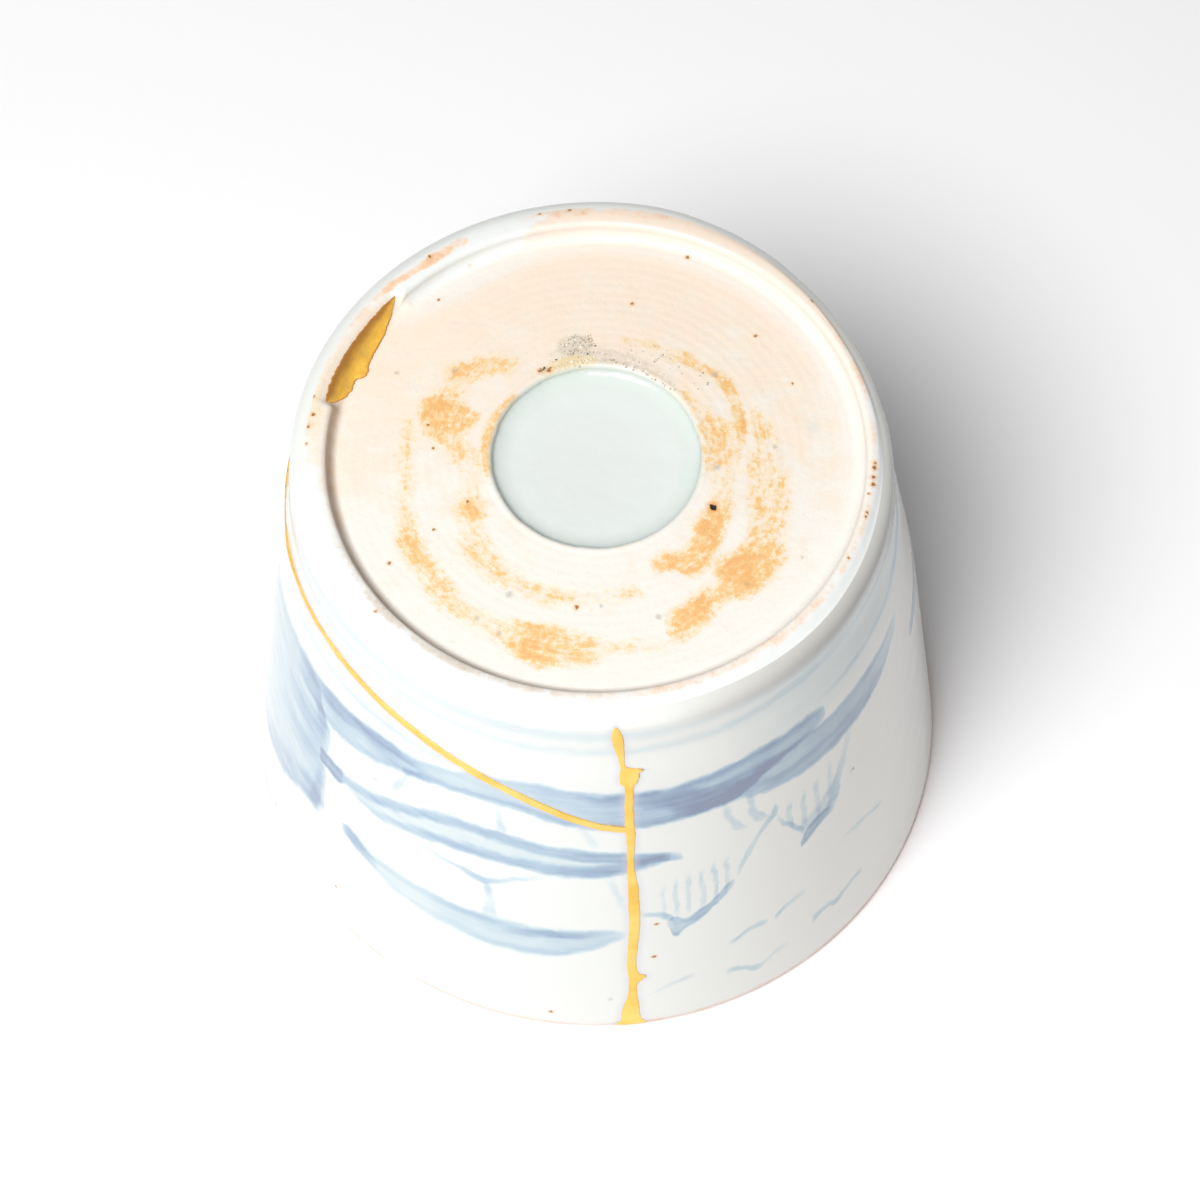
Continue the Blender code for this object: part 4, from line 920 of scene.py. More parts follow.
def wipedFoot():
    # The foot, wiped bare before firing: dry warm clay with iron stains, and glossy glaze in the well
    made, tree = newMaterial("bare porcelain clay with iron stains")
    at = wallPlaces(tree)
    # Streaks drawn out along the circles, without a seam at the back
    flat = add(tree, "VectorMath.NORMALIZE", add(tree, "VectorMath.MULTIPLY", at["mm"], (1.0, 1.0, 0.0)))
    drawn = add(tree, "VectorMath.SCALE", flat, inputs={"Scale": 8.0})
    across = add(tree, "CombineXYZ", 0.0, 0.0, add(tree, "Math.MULTIPLY", at["radius"], 2.4))
    drawn = add(tree, "VectorMath.ADD", drawn, across)
    streaks = add(tree, "TexNoise", drawn, inputs={"Scale": 1.0, "Detail": 5.0, "Roughness": 0.66})
    fine = add(tree, "TexNoise", at["mm"], inputs={"Scale": 1.6, "Detail": 4.0, "Roughness": 0.68})
    patches = add(tree, "TexNoise", at["mm"], inputs={"Scale": 0.34, "Detail": 3.0, "Roughness": 0.55})
    farSide = add(tree, "SeparateXYZ", at["mm"], out=1)

    # Clay: warmer at the far side, whiter in patches
    tone = add(tree, "MapRange", add(tree, "Math.MULTIPLY_ADD", farSide, 0.014, patches), 0.32, 0.80)
    tone = uneven(tree, tone, fine, 0.44)
    clay = add(tree, "ValToRGB", tone, stops=((0.0, "#EBE6DE"), (1.0, "#EFDDCA"), (0.35, "#EBE2D6"),
                                              (0.65, "#EDDFCE")))
    for stroke in whiter:
        pale = brushStroke(tree, at["angle"], at["radius"], stroke, pool=0.0)
        clay = mixColour(tree, pale, clay, colour("#E8E4DE"))
    iron = None
    for stroke in stains:
        stain = brushStroke(tree, at["angle"], at["radius"], stroke, pool=0.0)
        iron = stain if iron is None else add(tree, "Math.MAXIMUM", iron, stain)
    amount = uneven(tree, iron, streaks, 1.1)
    amount = uneven(tree, amount, fine, 1.5)
    amount = uneven(tree, amount, patches, 1.1)
    stain = add(tree, "ValToRGB", amount, stops=((0.20, "#ECDEC8"), (1.0, "#E8AE68"), (0.48, "#ECD4AC"),
                                                 (0.72, "#EBC284")))
    cover = add(tree, "Math.MULTIPLY", add(tree, "MapRange", amount, 0.10, 0.70, 0.0, 0.95),
                add(tree, "MapRange", iron, 0.0, 0.14))
    wash = add(tree, "MapRange", iron, 0.0, 0.5, 0.0, 0.45)
    clay = mixColour(tree, cover, mixColour(tree, wash, clay, colour("#EBDAC2")), stain)
    for crust in crusts:
        cover = uneven(tree, brushStroke(tree, at["behind"], at["radius"], crust, pool=0.0), fine, 1.6)
        clay = mixColour(tree, add(tree, "MapRange", cover, 0.2, 0.8, 0.0, 0.9), clay, colour(crust["hue"]))

    # Where the clay ends and the glaze of the rim begins
    low = min(r for _, r in wipeEdge)
    spread = max(r for _, r in wipeEdge) - low
    around = add(tree, "MapRange", at["angle"], -180.0, 180.0)
    edge = add(tree, "FloatCurve", 1.0, around, curves=[[((a + 180) / 360, (r - low) / spread) for a, r in wipeEdge]])
    inside = add(tree, "Math.SUBTRACT", add(tree, "Math.MULTIPLY_ADD", edge, spread, low), at["radius"])
    inside = uneven(tree, inside, patches, 1.6)
    inside = uneven(tree, inside, fine, 0.8)
    bare = add(tree, "MapRange", inside, -0.5, 0.5, interpolation_type="SMOOTHSTEP")
    notWell = add(tree, "MapRange", at["radius"], cup["wellRadius"] - 0.1, cup["wellRadius"] + 0.5)
    skin = mixColour(tree, bare, colour("#EAECEA"), clay)
    for stroke in blushAndShade:
        pale, middle, deep = stroke["hues"]
        pink = brushStroke(tree, at["angle"], at["radius"], stroke, pool=0.0)
        strong = add(tree, "MapRange", uneven(tree, uneven(tree, pink, fine, 1.0), patches, 1.4), 0.1, 0.9)
        rust = add(tree, "ValToRGB", strong, stops=((0.0, pale), (1.0, deep), (0.6, middle)))
        strong = add(tree, "Math.MULTIPLY", add(tree, "MapRange", strong, 0.0, 0.5, 0.0, 0.8),
                     add(tree, "MapRange", pink, 0.0, 0.12))
        skin = mixColour(tree, strong, skin, rust)
    # Grime with painted shade in the rim's corner, kept off the land
    dirtAndShade = brushStroke(tree, at["angle"], at["radius"], grimeAndShade, pool=0.0)
    dirtAndShade = add(tree, "Math.MULTIPLY", dirtAndShade, add(tree, "MapRange", at["height"], 61.5, 61.2))
    dirtAndShade = add(tree, "Math.MULTIPLY", dirtAndShade, add(tree, "MapRange", patches, 0.3, 0.7, 0.6, 1.0))
    skin = mixColour(tree, dirtAndShade, skin, colour("#B89C82"))

    # The well's glaze is thicker and greener towards its edge
    spill = uneven(tree, at["radius"], patches, 0.8)
    pooled = add(tree, "MapRange", spill, 2.0, 11.0)
    green = add(tree, "ValToRGB", pooled, stops=((0.0, "#DBDFDC"), (1.0, "#CED8D2"), (0.72, "#DCE1DD")))
    skin = mixColour(tree, notWell, green, skin)

    moved = strayed(tree, at)
    spots = [(a, r, cupHeight - 0.1 if r > 28.6 else ringFloor(r), size) for a, r, size in specks["foot"]]
    skin = ironSpecks(tree, nearest(tree, moved, spots), skin)
    greys = nearest(tree, moved, [(a, r, ringFloor(r), size) for a, r, size in specks["grey"]])
    skin = mixColour(tree, add(tree, "MapRange", greys, 1.4, 0.3, 0.0, 0.5), skin, colour("#A39A8F"))
    turn, wide, size = specks["char"]
    char = nearest(tree, moved, [(turn, wide, ringFloor(wide), size)])
    skin = mixColour(tree, add(tree, "MapRange", char, 2.2, 1.0, 0.0, 0.8), skin, colour("#E8A45A"))
    skin = mixColour(tree, add(tree, "MapRange", char, 1.1, 0.7), skin, colour("#1E1C22"))
    turn, wide, size = specks["dot"]
    dot = nearest(tree, moved, [(turn, wide, ringFloor(wide), size)])
    skin = mixColour(tree, add(tree, "MapRange", dot, 1.0, 0.3, 0.0, 0.5), skin, colour("#D2DAD8"))

    # Dry clay, but wet-looking where glaze ran into the rim's corner
    corner = add(tree, "Math.ABSOLUTE", add(tree, "Math.SUBTRACT", at["angle"], 150.0))
    corner = add(tree, "Math.MAXIMUM", add(tree, "MapRange", corner, 18.0, 26.0),
                 add(tree, "MapRange", at["radius"], 27.4, 26.6))
    dry = add(tree, "Math.MULTIPLY", add(tree, "Math.MULTIPLY", bare, notWell), corner)
    rough = add(tree, "MapRange", dry, 0.0, 1.0, 0.14, 0.52)
    grain = add(tree, "Math.MULTIPLY", add(tree, "Math.MULTIPLY", fine, dry), 0.00005)
    swell = add(tree, "TexNoise", at["mm"], inputs={"Scale": 0.3, "Detail": 2.0})
    return ceramic(made, tree, skin, rough, add(tree, "Math.MULTIPLY_ADD", swell, 0.00012, grain))


def makeCup():
    inner = list(reversed(insideLine()))
    outer = outsideLine()[1:]
    profile = [(r * mm, 0.0, z * mm) for r, z in inner + outer]
    # The zones of the skin: 0 the hollow, 1 the painted wall, 2 the foot from the top of its outer corner
    top = next(i for i, (r, z) in enumerate(outer) if z > cupHeight - 0.2)
    zones = [0.0] * (len(inner) - 1) + [1.0] * (top + 1) + [2.0] * (len(outer) - top)
    piece = runTree("soba_cup", pointsMesh("cup_profile", profile, {"zone": zones}), latheTree(), {
        "Turns": cup["turns"],
        "Foot Off Centre": cup["footOffCentre"] * mm,
        "Cup Height": cupHeight * mm,
        "Edge Wander": cup["edgeWander"] * mm * 4,
        "Foot Wander": cup["footWander"] * mm * 4,
        "Well Radius": cup["wellRadius"] * mm,
        "Foot Radius": (landEdge + 1.0) * mm,
        "Seed": 4.0,
        "Chip From": math.radians(fill["from"] % 360), "Chip To": math.radians(fill["to"] % 360),
        "Chip Depth": 0.12 * mm,
        "Lip Dip": cup["lipDip"] * mm,
        "Land Edge": (landEdge + 0.05) * mm,
        "Worn In": max(value for _, value in cup["wornIn"]) * mm,
        "Worn Drop": max(value for _, value in cup["wornDrop"]) * mm,
        "Painted": paintedGlaze(), "Plain": plainGlaze(), "Wiped": wipedFoot(),
    })
    faceOut(piece)
    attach(piece, "root")
    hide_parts("porcelain_cup")
    return piece


makeCup()
print("cup turned and painted")


# Gold seams

def hollowRadius(height):
    low = mouthRadius - cup["lipThickness"]
    high = wallRadius(hollowTop) - cup["wallAtFloor"]
    return low + (high - low) * height / hollowTop


def station(angle, radius, height, normal, left, right, proud=1.0):
    # One place of a seam: the point, the way out of the skin, and what the sweep needs
    turn = math.radians(angle)
    outward = Vector((normal[0] * math.sin(turn), -normal[0] * math.cos(turn), normal[1]))
    return place(angle, radius, height), outward, left * mm, right * mm, proud


def acrossLip(angle, left, right):
    # Round the lip from the outside to the hollow, a little below its skin at the rim's flat
    lip = cup["lipRound"]
    places = []
    for side, centre in ((1, mouthRadius - lip), (-1, mouthRadius - cup["lipThickness"] + lip)):
        turns = (20, 45, 70) if side > 0 else (70, 45, 20)
        for t in turns:
            out = (side * math.cos(math.radians(t)), -math.sin(math.radians(t)))
            deep = 1.0 - math.sin(math.radians(t))
            places.append(station(angle, centre + lip * out[0], lip + lip * out[1], out, left, right, deep))
        if side > 0:
            places.append(station(angle, lipMiddle, 0.0, (0.0, -1.0), left, right, 0.0))
    return places


def lookUp(pairs, key):
    # The value at a key in a list of pairs whose keys fall
    for (k0, v0), (k1, v1) in zip(pairs, pairs[1:]):
        if k0 >= key >= k1:
            return v0 + (v1 - v0) * (k0 - key) / (k0 - k1)
    return pairs[-1][1]


def uprightStations():
    stations = []
    for height, left, right in uprightEdges:
        radius = wallRadius(height)
        middle = lookUp(uprightMiddle, height)
        degree = math.radians(1.0) * radius
        stations.append(station(middle, radius, height, (1.0, 0.0),
                                max(middle - left, 0.05) * degree, max(right - middle, 0.05) * degree,
                                1.0 if height > 4.0 else 0.3))
    angle = uprightMiddle[-1][1]
    stations += acrossLip(angle, 0.9, 0.9)
    high = (hollowTop - cup["hollowFillet"] / 2) * seam["insideShare"]
    for i in range(1, 13):
        height = cup["lipRound"] + (high - cup["lipRound"]) * i / 12
        reach = 0.55 if i < 12 else 0.02
        stations.append(station(angle + 0.4 * math.sin(i), hollowRadius(height), height, (-1.0, 0.0), reach, reach))
    return stations


def sideStations(inside):
    # Outside, round to the lip; inside, the same crack seen through the wall
    share = (hollowTop - cup["hollowFillet"] / 2) * seam["insideShare"] / cupHeight
    if not inside:
        found = [station(a, wallRadius(z), z, (1.0, 0.0), reach, reach) for a, z, reach in sideMiddle]
        return found + acrossLip(sideMiddle[-1][0], 0.6, 0.6)
    return [station(a, hollowRadius(z * share), z * share, (-1.0, 0.0), 0.55, 0.55)
            for a, z, _ in reversed(sideMiddle)]


def seamTree():
    # Sweeps a lens-shaped section, a low dome above the skin and a keel below it, along a line of stations
    tree, given = newTree("gold_seam_sweep", {
        "Spacing": ("Float", 0.0002),
        "Sides": ("Int", 16),
        "Proud": ("Float", 0.0001),
        "Keel": ("Float", 0.0002),
        "Ragged": ("Float", 0.0001),
        "Ragged Grain": ("Float", 0.001),
        "Material": ("Material", None),
    })
    line = add(tree, "MeshToCurve", given["Geometry"])
    line = add(tree, "CurveSplineType", line, spline_type="CATMULL_ROM")
    line = add(tree, "ResampleCurve", line, inputs={"Length": given["Spacing"]}, mode="LENGTH")
    count = add(tree, "AttributeDomainSize", line, component="CURVE")
    around = add(tree, "Math.ADD", given["Sides"], 1.0)
    grid = add(tree, "MeshGrid", 1.0, 1.0, count, around)
    index = add(tree, "InputIndex")
    row = add(tree, "Math.MODULO", index, around)
    column = add(tree, "Math.FLOOR", add(tree, "Math.DIVIDE", index, around))

    def along(field, kind="FLOAT"):
        return add(tree, "SampleIndex", line, field, inputs={"Index": column}, data_type=kind, domain="POINT")

    def carried(name, kind="FLOAT"):
        return add(tree, "InputNamedAttribute", name, data_type=kind)

    spot = along(add(tree, "InputPosition"), "FLOAT_VECTOR")
    ahead = along(add(tree, "InputTangent"), "FLOAT_VECTOR")
    outward = along(carried("outward", "FLOAT_VECTOR"), "FLOAT_VECTOR")
    outward = add(tree, "VectorMath.NORMALIZE", outward)
    side = add(tree, "VectorMath.CROSS_PRODUCT", outward, ahead)
    side = add(tree, "VectorMath.NORMALIZE", side)
    turn = add(tree, "Math.MULTIPLY", add(tree, "Math.DIVIDE", row, given["Sides"]), math.tau)
    sideways = add(tree, "Math.MULTIPLY", add(tree, "Math.COSINE", turn), -1.0)
    upward = add(tree, "Math.SINE", turn)
    rightSide = add(tree, "Math.GREATER_THAN", sideways, 0.0)
    reach = add(tree, "Switch", rightSide, along(carried("leftReach")), along(carried("rightReach")),
                input_type="FLOAT")
    # Each edge strays by its own noise
    apart = add(tree, "VectorMath.SCALE", (0.0, 0.0, 0.013), inputs={"Scale": rightSide})
    apart = add(tree, "VectorMath.ADD", spot, apart)
    scale = add(tree, "Math.DIVIDE", 1.0, given["Ragged Grain"])
    stray = add(tree, "TexNoise", apart, inputs={"Scale": scale, "Detail": 3.0, "Roughness": 0.6})
    stray = add(tree, "Math.MULTIPLY", add(tree, "Math.SUBTRACT", stray, 0.5), given["Ragged"])
    full = add(tree, "MapRange", reach, 0.0, 0.0003)
    reach = add(tree, "Math.ADD", reach, add(tree, "Math.MULTIPLY", add(tree, "Math.MULTIPLY", stray, 4.0), full))
    lump = add(tree, "TexNoise", spot, inputs={"Scale": 700.0, "Detail": 2.0})
    lump = add(tree, "MapRange", lump, 0.3, 0.7, 0.75, 1.15)
    # A nearly flat top with steep sides
    dome = add(tree, "Math.POWER", add(tree, "Math.MAXIMUM", upward, 0.0), 0.35)
    dome = add(tree, "Math.MULTIPLY", dome, given["Proud"])
    dome = add(tree, "Math.MULTIPLY", add(tree, "Math.MULTIPLY", dome, along(carried("proud"))), lump)
    keel = add(tree, "Math.MULTIPLY", add(tree, "Math.MINIMUM", upward, 0.0), given["Keel"])
    rise = add(tree, "Math.MULTIPLY", add(tree, "Math.ADD", dome, keel), full)
    spread = add(tree, "VectorMath.SCALE", side, inputs={"Scale": add(tree, "Math.MULTIPLY", sideways, reach)})
    lift = add(tree, "VectorMath.SCALE", outward, inputs={"Scale": rise})
    spot = add(tree, "VectorMath.ADD", add(tree, "VectorMath.ADD", spot, spread), lift)
    edge = add(tree, "Math.ABSOLUTE", sideways)
    marked = add(tree, "StoreNamedAttribute", grid, inputs={"Name": "edge", "Value": edge},
                 data_type="FLOAT", domain="POINT")
    swept = add(tree, "SetPosition", marked, inputs={"Position": spot})
    joined = add(tree, "MergeByDistance", swept, inputs={"Distance": 1e-6})
    smooth = add(tree, "SetShadeSmooth", joined)
    whole = add(tree, "RealizeInstances", smooth)
    dressed = add(tree, "SetMaterial", whole, inputs={"Material": given["Material"]})
    tree.links.new(dressed, tree.nodes.new("NodeGroupOutput").inputs[0])
    return tree


def goldLacquer():
    # Gold powder on lacquer: a satin yellow metal, slightly uneven, with a thin dark red-brown lacquer edge
    made, tree = newMaterial("gold lacquer")
    where = add(tree, "TexCoord", out=3)
    cloud = add(tree, "TexNoise", where, inputs={"Scale": 260.0, "Detail": 3.0})
    tone = add(tree, "ValToRGB", cloud, stops=((0.3, "#F5C452"), (0.7, "#FDDA7A")))
    edge = add(tree, "Attribute", attribute_name="edge", out=2)
    fray = add(tree, "TexNoise", where, inputs={"Scale": 1500.0, "Detail": 2.0})
    edge = add(tree, "Math.MULTIPLY_ADD", fray, 0.12, edge)
    lacquer = add(tree, "MapRange", edge, 1.045, 1.085)
    tone = add(tree, "Mix", lacquer, inputs={6: tone, 7: colour("#8E6038")}, out=2, data_type="RGBA")
    metal = add(tree, "MapRange", lacquer, 0.0, 1.0, 0.5, 0.0)
    grain = add(tree, "TexNoise", where, inputs={"Scale": 5000.0, "Detail": 2.0})
    bump = add(tree, "Bump", inputs={"Strength": 0.35, "Distance": 0.00004, "Height": grain})
    shader = add(tree, "BsdfPrincipled", inputs={
        "Base Color": tone, "Metallic": metal, "Roughness": 0.55, "Normal": bump})
    tree.links.new(shader, tree.nodes.new("ShaderNodeOutputMaterial").inputs[0])
    return made


def makeSeams():
    material = goldLacquer()
    tree = seamTree()
    runs = []
    for name, stations in (("upright", uprightStations()), ("side", sideStations(False)),
                           ("side_inside", sideStations(True))):
        places, outward, left, right, proud = zip(*stations)
        line = pointsMesh(name, places, {"outward": outward, "leftReach": left, "rightReach": right,
                                         "proud": proud})
        runs.append(runTree(name, line, tree, {
            "Spacing": seam["spacing"] * mm,
            "Sides": seam["sides"],
            "Proud": seam["proud"] * mm,
            "Keel": seam["keel"] * mm,
            "Ragged": seam["ragged"] * mm,
            "Ragged Grain": seam["raggedGrain"] * mm,
            "Material": material,
        }))
    piece = joinPieces("gold_seams", runs)
    faceOut(piece)
    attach(piece, "root")
    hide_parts("gold_seam")


makeSeams()
print("seams laid")


# Gold fill in the chip of the foot's rim

def scaled(pairs, most):
    return [(share, value / most) for share, value in pairs]


def fillTree():
    # Lays a thin lens of gold over the chip: every column is one turn, every row one place down the section
    tree, given = newTree("gold_fill", {
        "From": ("Float", 0.0), "To": ("Float", 1.0),
        "Columns": ("Int", 100), "Sides": ("Int", 20),
        "Proud": ("Float", 0.0001), "Keel": ("Float", 0.0001),
        "Ragged": ("Float", 0.0001), "Ragged Grain": ("Float", 0.001),
        "Foot Off Centre": ("Float", 0.0),
        "Material": ("Material", None),
    })
    most = max(value for _, value in fill["reach"])
    line = add(tree, "MeshToCurve", given["Geometry"])
    around = add(tree, "Math.ADD", given["Sides"], 1.0)
    grid = add(tree, "MeshGrid", 1.0, 1.0, given["Columns"], around)
    index = add(tree, "InputIndex")
    row = add(tree, "Math.MODULO", index, around)
    column = add(tree, "Math.FLOOR", add(tree, "Math.DIVIDE", index, around))
    share = add(tree, "Math.DIVIDE", column, add(tree, "Math.SUBTRACT", given["Columns"], 1.0))
    angle = add(tree, "MapRange", share, 0.0, 1.0, given["From"], given["To"])
    direction = add(tree, "CombineXYZ", add(tree, "Math.SINE", angle), add(tree, "Math.COSINE", angle), 0.0)
    start = add(tree, "FloatCurve", 1.0, share, curves=[scaled(fill["start"], most)])
    reach = add(tree, "FloatCurve", 1.0, share, curves=[scaled(fill["reach"], most)])
    grain = add(tree, "Math.DIVIDE", fill["section"][0][0] * mm, given["Ragged Grain"])
    stray = add(tree, "TexNoise", direction, inputs={"Scale": grain, "Detail": 4.0, "Roughness": 0.65})
    stray = add(tree, "Math.MULTIPLY", add(tree, "Math.SUBTRACT", stray, 0.5), given["Ragged"])
    middle = add(tree, "Math.MULTIPLY", add(tree, "Math.ADD", start, reach), most * mm / 2)
    half = add(tree, "Math.MULTIPLY", add(tree, "Math.SUBTRACT", reach, start), most * mm / 2)
    full = add(tree, "MapRange", half, 0.0001, 0.0006)
    turn = add(tree, "Math.MULTIPLY", add(tree, "Math.DIVIDE", row, given["Sides"]), math.tau)
    sideways = add(tree, "Math.MULTIPLY", add(tree, "Math.COSINE", turn), -1.0)
    upward = add(tree, "Math.SINE", turn)
    half = add(tree, "Math.ADD", half, add(tree, "Math.MULTIPLY", add(tree, "Math.MULTIPLY", stray, 4.0), full))
    run = add(tree, "Math.MULTIPLY_ADD", sideways, half, middle)
    found = add(tree, "SampleCurve", line, inputs={"Length": run}, mode="LENGTH", out=1).node.outputs
    section = add(tree, "SeparateXYZ", found[1]).node.outputs
    slope = add(tree, "SeparateXYZ", found[2]).node.outputs
    # The section runs inwards and down, so the way out of it is its tangent turned by a quarter
    outZ = add(tree, "Math.MULTIPLY", slope[0], -1.0)
    dome = add(tree, "Math.POWER", add(tree, "Math.MAXIMUM", upward, 0.0), 0.5)
    dome = add(tree, "Math.MULTIPLY", dome, given["Proud"])
    keel = add(tree, "Math.MULTIPLY", add(tree, "Math.MINIMUM", upward, 0.0), given["Keel"])
    rise = add(tree, "Math.MULTIPLY", add(tree, "Math.ADD", dome, keel), full)
    radius = add(tree, "Math.MULTIPLY_ADD", slope[2], rise, section[0])
    height = add(tree, "Math.MULTIPLY_ADD", outZ, rise, section[2])
    x = add(tree, "Math.MULTIPLY_ADD", radius, add(tree, "Math.SINE", angle), given["Foot Off Centre"])
    y = add(tree, "Math.MULTIPLY", add(tree, "Math.MULTIPLY", radius, add(tree, "Math.COSINE", angle)), -1.0)
    spot = add(tree, "CombineXYZ", x, y, height)
    marked = add(tree, "StoreNamedAttribute", grid, inputs={"Name": "edge", "Value": sideways},
                 data_type="FLOAT", domain="POINT")
    marked = add(tree, "StoreNamedAttribute", marked, inputs={"Name": "along", "Value": share},
                 data_type="FLOAT", domain="POINT")
    laid = add(tree, "SetPosition", marked, inputs={"Position": spot})
    joined = add(tree, "MergeByDistance", laid, inputs={"Distance": 1e-6})
    smooth = add(tree, "SetShadeSmooth", joined)
    whole = add(tree, "RealizeInstances", smooth)
    dressed = add(tree, "SetMaterial", whole, inputs={"Material": given["Material"]})
    tree.links.new(dressed, tree.nodes.new("NodeGroupOutput").inputs[0])
    return tree


def brushedGold():
    # Brushed gold over brown lacquer, bright yellow where the powder lies thick; painted shade, ochre and brown, by the
    # rim
    made, tree = newMaterial("brushed gold over lacquer")
    where = add(tree, "TexCoord", out=3)
    edge = add(tree, "Attribute", attribute_name="edge", out=2)
    cloud = add(tree, "TexNoise", where, inputs={"Scale": 520.0, "Detail": 5.0, "Roughness": 0.6})
    tone = add(tree, "ValToRGB", add(tree, "Math.MULTIPLY_ADD", edge, 0.14, cloud), stops=(
        (0.30, "#DBA850"), (0.72, "#FFD25C"), (0.44, "#EAB850"), (0.56, "#F6BC48")))
    # Painted shade: brown on the steep side next to the rim, where the rim's shadow falls
    rimShade = add(tree, "MapRange", add(tree, "Math.MULTIPLY_ADD", cloud, 0.5, edge), 0.15, -0.45)
    tone = mixColour(tree, rimShade, tone, colour("#BC8238"))
    fringe = add(tree, "MapRange", add(tree, "Math.MULTIPLY_ADD", cloud, 0.3, edge), 0.98, 1.14)
    tone = mixColour(tree, fringe, tone, colour("#D98E3C"))
    bump = add(tree, "Bump", inputs={"Strength": 0.6, "Distance": 0.0002, "Height": cloud})
    shader = add(tree, "BsdfPrincipled", inputs={
        "Base Color": tone, "Metallic": 0.25, "Roughness": 0.45, "Normal": bump})
    tree.links.new(shader, tree.nodes.new("ShaderNodeOutputMaterial").inputs[0])
    return made


def makeFill():
    section = [(r * mm, 0.0, z * mm) for r, z in fill["section"]]
    piece = runTree("gold_fill", pointsMesh("chip_section", section), fillTree(), {
        "From": math.radians(fill["from"]), "To": math.radians(fill["to"]),
        "Columns": fill["columns"], "Sides": fill["sides"],
        "Proud": fill["proud"] * mm, "Keel": fill["keel"] * mm,
        "Ragged": fill["ragged"] * mm, "Ragged Grain": fill["raggedGrain"] * mm,
        "Foot Off Centre": cup["footOffCentre"] * mm,
        "Material": brushedGold(),
    })
    faceOut(piece)
    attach(piece, "root")
    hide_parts("gold_foot_fill")


makeFill()
print("chip filled")


# Kiln grit: coarse sand that fell on the foot in the kiln and stuck there

grit = {
    "smallest": 0.045, "largest": 0.15, "sunk": 0.3, "seed": 5,
    # Flat patches: grains in a square millimetre, hue from tan over grey to brown, outline by angle and radius
    "patches": [
        (18.0, 0.5, [(-166, 12.7), (-165, 14.4), (-171, 15.2), (-178, 15.1), (-181, 14.0), (-179, 12.4), (-172, 12.2)]),
        (9.0, 0.1, [(-150, 11.5), (-153, 12.3), (-161, 12.8), (-171, 12.6), (-181, 12.1), (-181, 11.3), (-166, 11.1),
                    (-156, 11.1)]),
        (16.0, 0.55, [(181, 12.2), (168, 11.9), (152, 11.7), (133, 11.5), (133, 11.2), (153, 11.2), (170, 11.3)]),
        (16.0, 1.0, [(-150, 11.6), (-151, 12.2), (-157, 12.1), (-156, 11.5)]),
        (1.2, 0.5, [(178, 12.2), (150, 12.2), (126, 13.0), (124, 17.0), (150, 15.6), (172, 14.4)]),
    ],
}


def gritTree():
    # Scatters grains over the patches; each patch carries how crowded it is and its hue
    tree, given = newTree("grit_scatter", {
        "Smallest": ("Float", 0.0001), "Largest": ("Float", 0.0002), "Sunk": ("Float", 0.3),
        "Seed": ("Int", 0), "Material": ("Material", None),
    })
    crowd = add(tree, "InputNamedAttribute", "crowd", data_type="FLOAT")
    spread = add(tree, "DistributePointsOnFaces", given["Geometry"], inputs={"Density": crowd, "Seed": given["Seed"]})
    grain = add(tree, "MeshIcoSphere", 1.0, 2)
    wide = add(tree, "RandomValue", inputs={2: 0.0, 3: 1.0, "Seed": 3}, out=1)
    wide = add(tree, "MapRange", add(tree, "Math.POWER", wide, 2.0), 0.0, 1.0, given["Smallest"], given["Largest"])
    shape = add(tree, "RandomValue", inputs={0: (0.7, 0.7, 0.5), 1: (1.2, 1.2, 0.9), "Seed": 4},
                data_type="FLOAT_VECTOR")
    size = add(tree, "VectorMath.SCALE", shape, inputs={"Scale": wide})
    turn = add(tree, "RandomValue", inputs={0: (0.0, 0.0, 0.0), 1: (0.6, 0.6, math.tau), "Seed": 6},
               data_type="FLOAT_VECTOR")
    spread = add(tree, "SetPosition", spread, inputs={
        "Offset": add(tree, "CombineXYZ", 0.0, 0.0, add(tree, "Math.MULTIPLY", wide, given["Sunk"]))})
    placed = add(tree, "InstanceOnPoints", spread, inputs={"Instance": grain, "Rotation": turn, "Scale": size})
    tone = add(tree, "RandomValue", inputs={2: 0.0, 3: 1.0, "Seed": 8}, out=1)
    placed = add(tree, "StoreNamedAttribute", placed, inputs={"Name": "tone", "Value": tone},
                 data_type="FLOAT", domain="INSTANCE")
    whole = add(tree, "RealizeInstances", placed)
    dressed = add(tree, "SetMaterial", whole, inputs={"Material": given["Material"]})
    tree.links.new(dressed, tree.nodes.new("NodeGroupOutput").inputs[0])
    return tree


def kilnGrit():
    # Fired sand: dull tan and grey grains with a few brown ones; a few are painted near white as glints, and glossier
    made, tree = newMaterial("kiln grit")
    hue = add(tree, "Attribute", attribute_name="hue", out=2)
    tone = add(tree, "Attribute", attribute_name="tone", out=2)
    shade = uneven(tree, hue, tone, 0.5)
    skin = add(tree, "ValToRGB", shade, stops=((0.0, "#E8D8B4"), (1.0, "#8E5A34"), (0.3, "#D8CBB2"),
                                               (0.55, "#BEB5A8"), (0.75, "#A3978A")))
    # Painted glints: a few grains near white; the lower roughness below makes them shine too
    skin = mixColour(tree, add(tree, "MapRange", tone, 0.90, 0.92), skin, colour("#EFEDE8"))
    skin = mixColour(tree, add(tree, "MapRange", tone, 0.07, 0.05), skin, colour("#6B6058"))
    rough = add(tree, "MapRange", tone, 0.8, 0.9, 0.7, 0.25)
    shader = add(tree, "BsdfPrincipled", inputs={"Base Color": skin, "Roughness": rough})
    tree.links.new(shader, tree.nodes.new("ShaderNodeOutputMaterial").inputs[0])
    return made


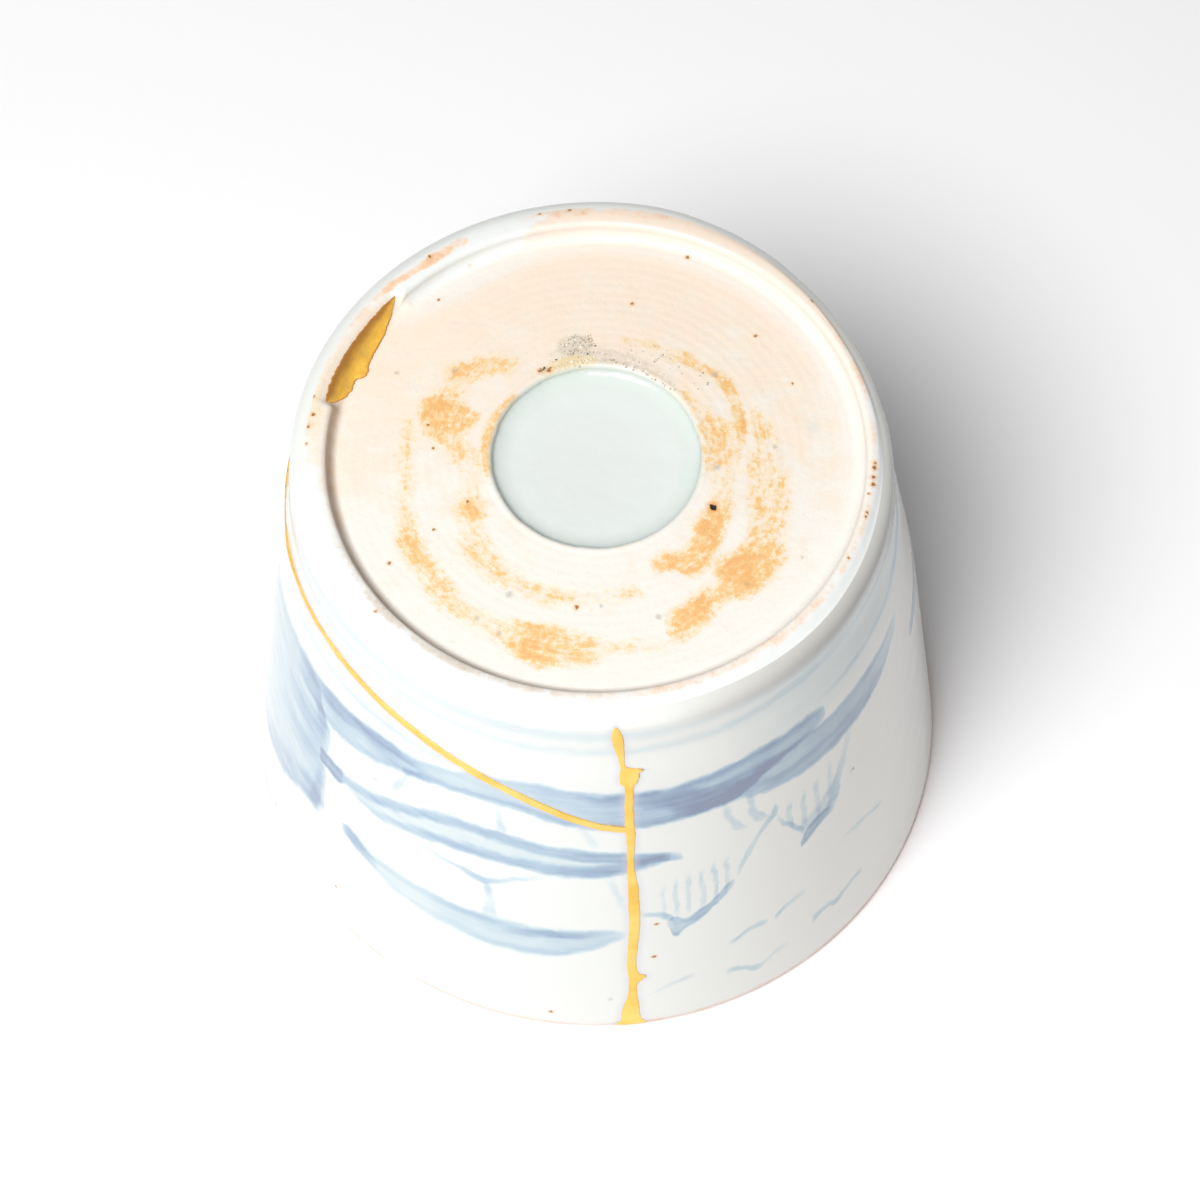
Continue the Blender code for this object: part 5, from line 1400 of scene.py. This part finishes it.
def makeGrit():
    points, faces = [], []
    for _, _, outline in grit["patches"]:
        faces.append(range(len(points), len(points) + len(outline)))
        points += [place(a, r, ringFloor(r)) for a, r in outline]
    mesh = bpy.data.meshes.new("grit_patches")
    mesh.from_pydata([tuple(p) for p in points], [], [list(f) for f in faces])
    for name, values in (("crowd", [p[0] / mm ** 2 for p in grit["patches"]]), ("hue", [p[1] for p in grit["patches"]])):
        kept = mesh.attributes.new(name, "FLOAT", "FACE")
        for slot, value in zip(kept.data, values):
            slot.value = value
    piece = runTree("kiln_grit", mesh, gritTree(), {
        "Smallest": grit["smallest"] * mm, "Largest": grit["largest"] * mm, "Sunk": grit["sunk"],
        "Seed": grit["seed"], "Material": kilnGrit(),
    })
    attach(piece, "root")


makeGrit()
print("grit scattered")


# Floor, light and camera

studio = {
    "floorSize": 3.0,
    "floorColour": "#FAF9FA",
    "surround": 0.24,          # white light from everywhere
    "keyPower": 6.8, "keySize": 0.42, "keyDistance": 0.8, "keyTurn": -124.0, "keyHeight": 60.0,
    "focalLength": 104.73, "sensor": 36.0,
    "distance": 0.392, "elevation": 61.567, "roll": -0.66,
    "aim": (0.0006, 0.0, 0.0287),
}


def makeFloor():
    mesh = bpy.data.meshes.new("floor")
    half = studio["floorSize"] / 2
    mesh.from_pydata([(-half, -half, 0), (half, -half, 0), (half, half, 0), (-half, half, 0)], [], [(0, 1, 2, 3)])
    floor = bpy.data.objects.new("floor", mesh)
    bpy.context.scene.collection.objects.link(floor)
    made, tree = newMaterial("matt paper")
    shader = add(tree, "BsdfPrincipled", inputs={"Base Color": colour(studio["floorColour"]), "Roughness": 0.9})
    tree.links.new(shader, tree.nodes.new("ShaderNodeOutputMaterial").inputs[0])
    mesh.materials.append(made)


def makeLight():
    world = bpy.data.worlds.new("studio")
    world.use_nodes = True
    back = world.node_tree.nodes["Background"]
    back.inputs["Color"].default_value = (1.0, 1.0, 1.0, 1.0)
    back.inputs["Strength"].default_value = studio["surround"]
    bpy.context.scene.world = world
    lamp = bpy.data.lights.new("key", "AREA")
    lamp.shape = "DISK"
    lamp.size = studio["keySize"]
    lamp.energy = studio["keyPower"]
    key = bpy.data.objects.new("key", lamp)
    bpy.context.scene.collection.objects.link(key)
    turn = math.radians(studio["keyTurn"])
    rise = math.radians(studio["keyHeight"])
    way = Vector((math.cos(turn) * math.cos(rise), math.sin(turn) * math.cos(rise), math.sin(rise)))
    key.location = way * studio["keyDistance"]
    key.rotation_euler = way.to_track_quat("Z", "Y").to_euler()


def makeCamera():
    tilt = math.radians(studio["elevation"])
    roll = math.radians(studio["roll"])
    back = Vector((0.0, -math.cos(tilt), math.sin(tilt)))
    right = Vector((1.0, 0.0, 0.0))
    up = back.cross(right)
    turnedRight = right * math.cos(roll) + up * math.sin(roll)
    turnedUp = up * math.cos(roll) - right * math.sin(roll)
    lens = bpy.data.cameras.new("camera")
    lens.lens = studio["focalLength"]
    lens.sensor_width = studio["sensor"]
    lens.clip_start = 0.01
    camera = bpy.data.objects.new("camera", lens)
    bpy.context.scene.collection.objects.link(camera)
    matrix = Matrix((turnedRight, turnedUp, back)).transposed().to_4x4()
    matrix.translation = Vector(studio["aim"]) + back * studio["distance"]
    camera.matrix_world = matrix
    bpy.context.scene.camera = camera
    bpy.context.scene.view_settings.view_transform = "Standard"


makeFloor()
makeLight()
makeCamera()
print("stage, light and camera set")
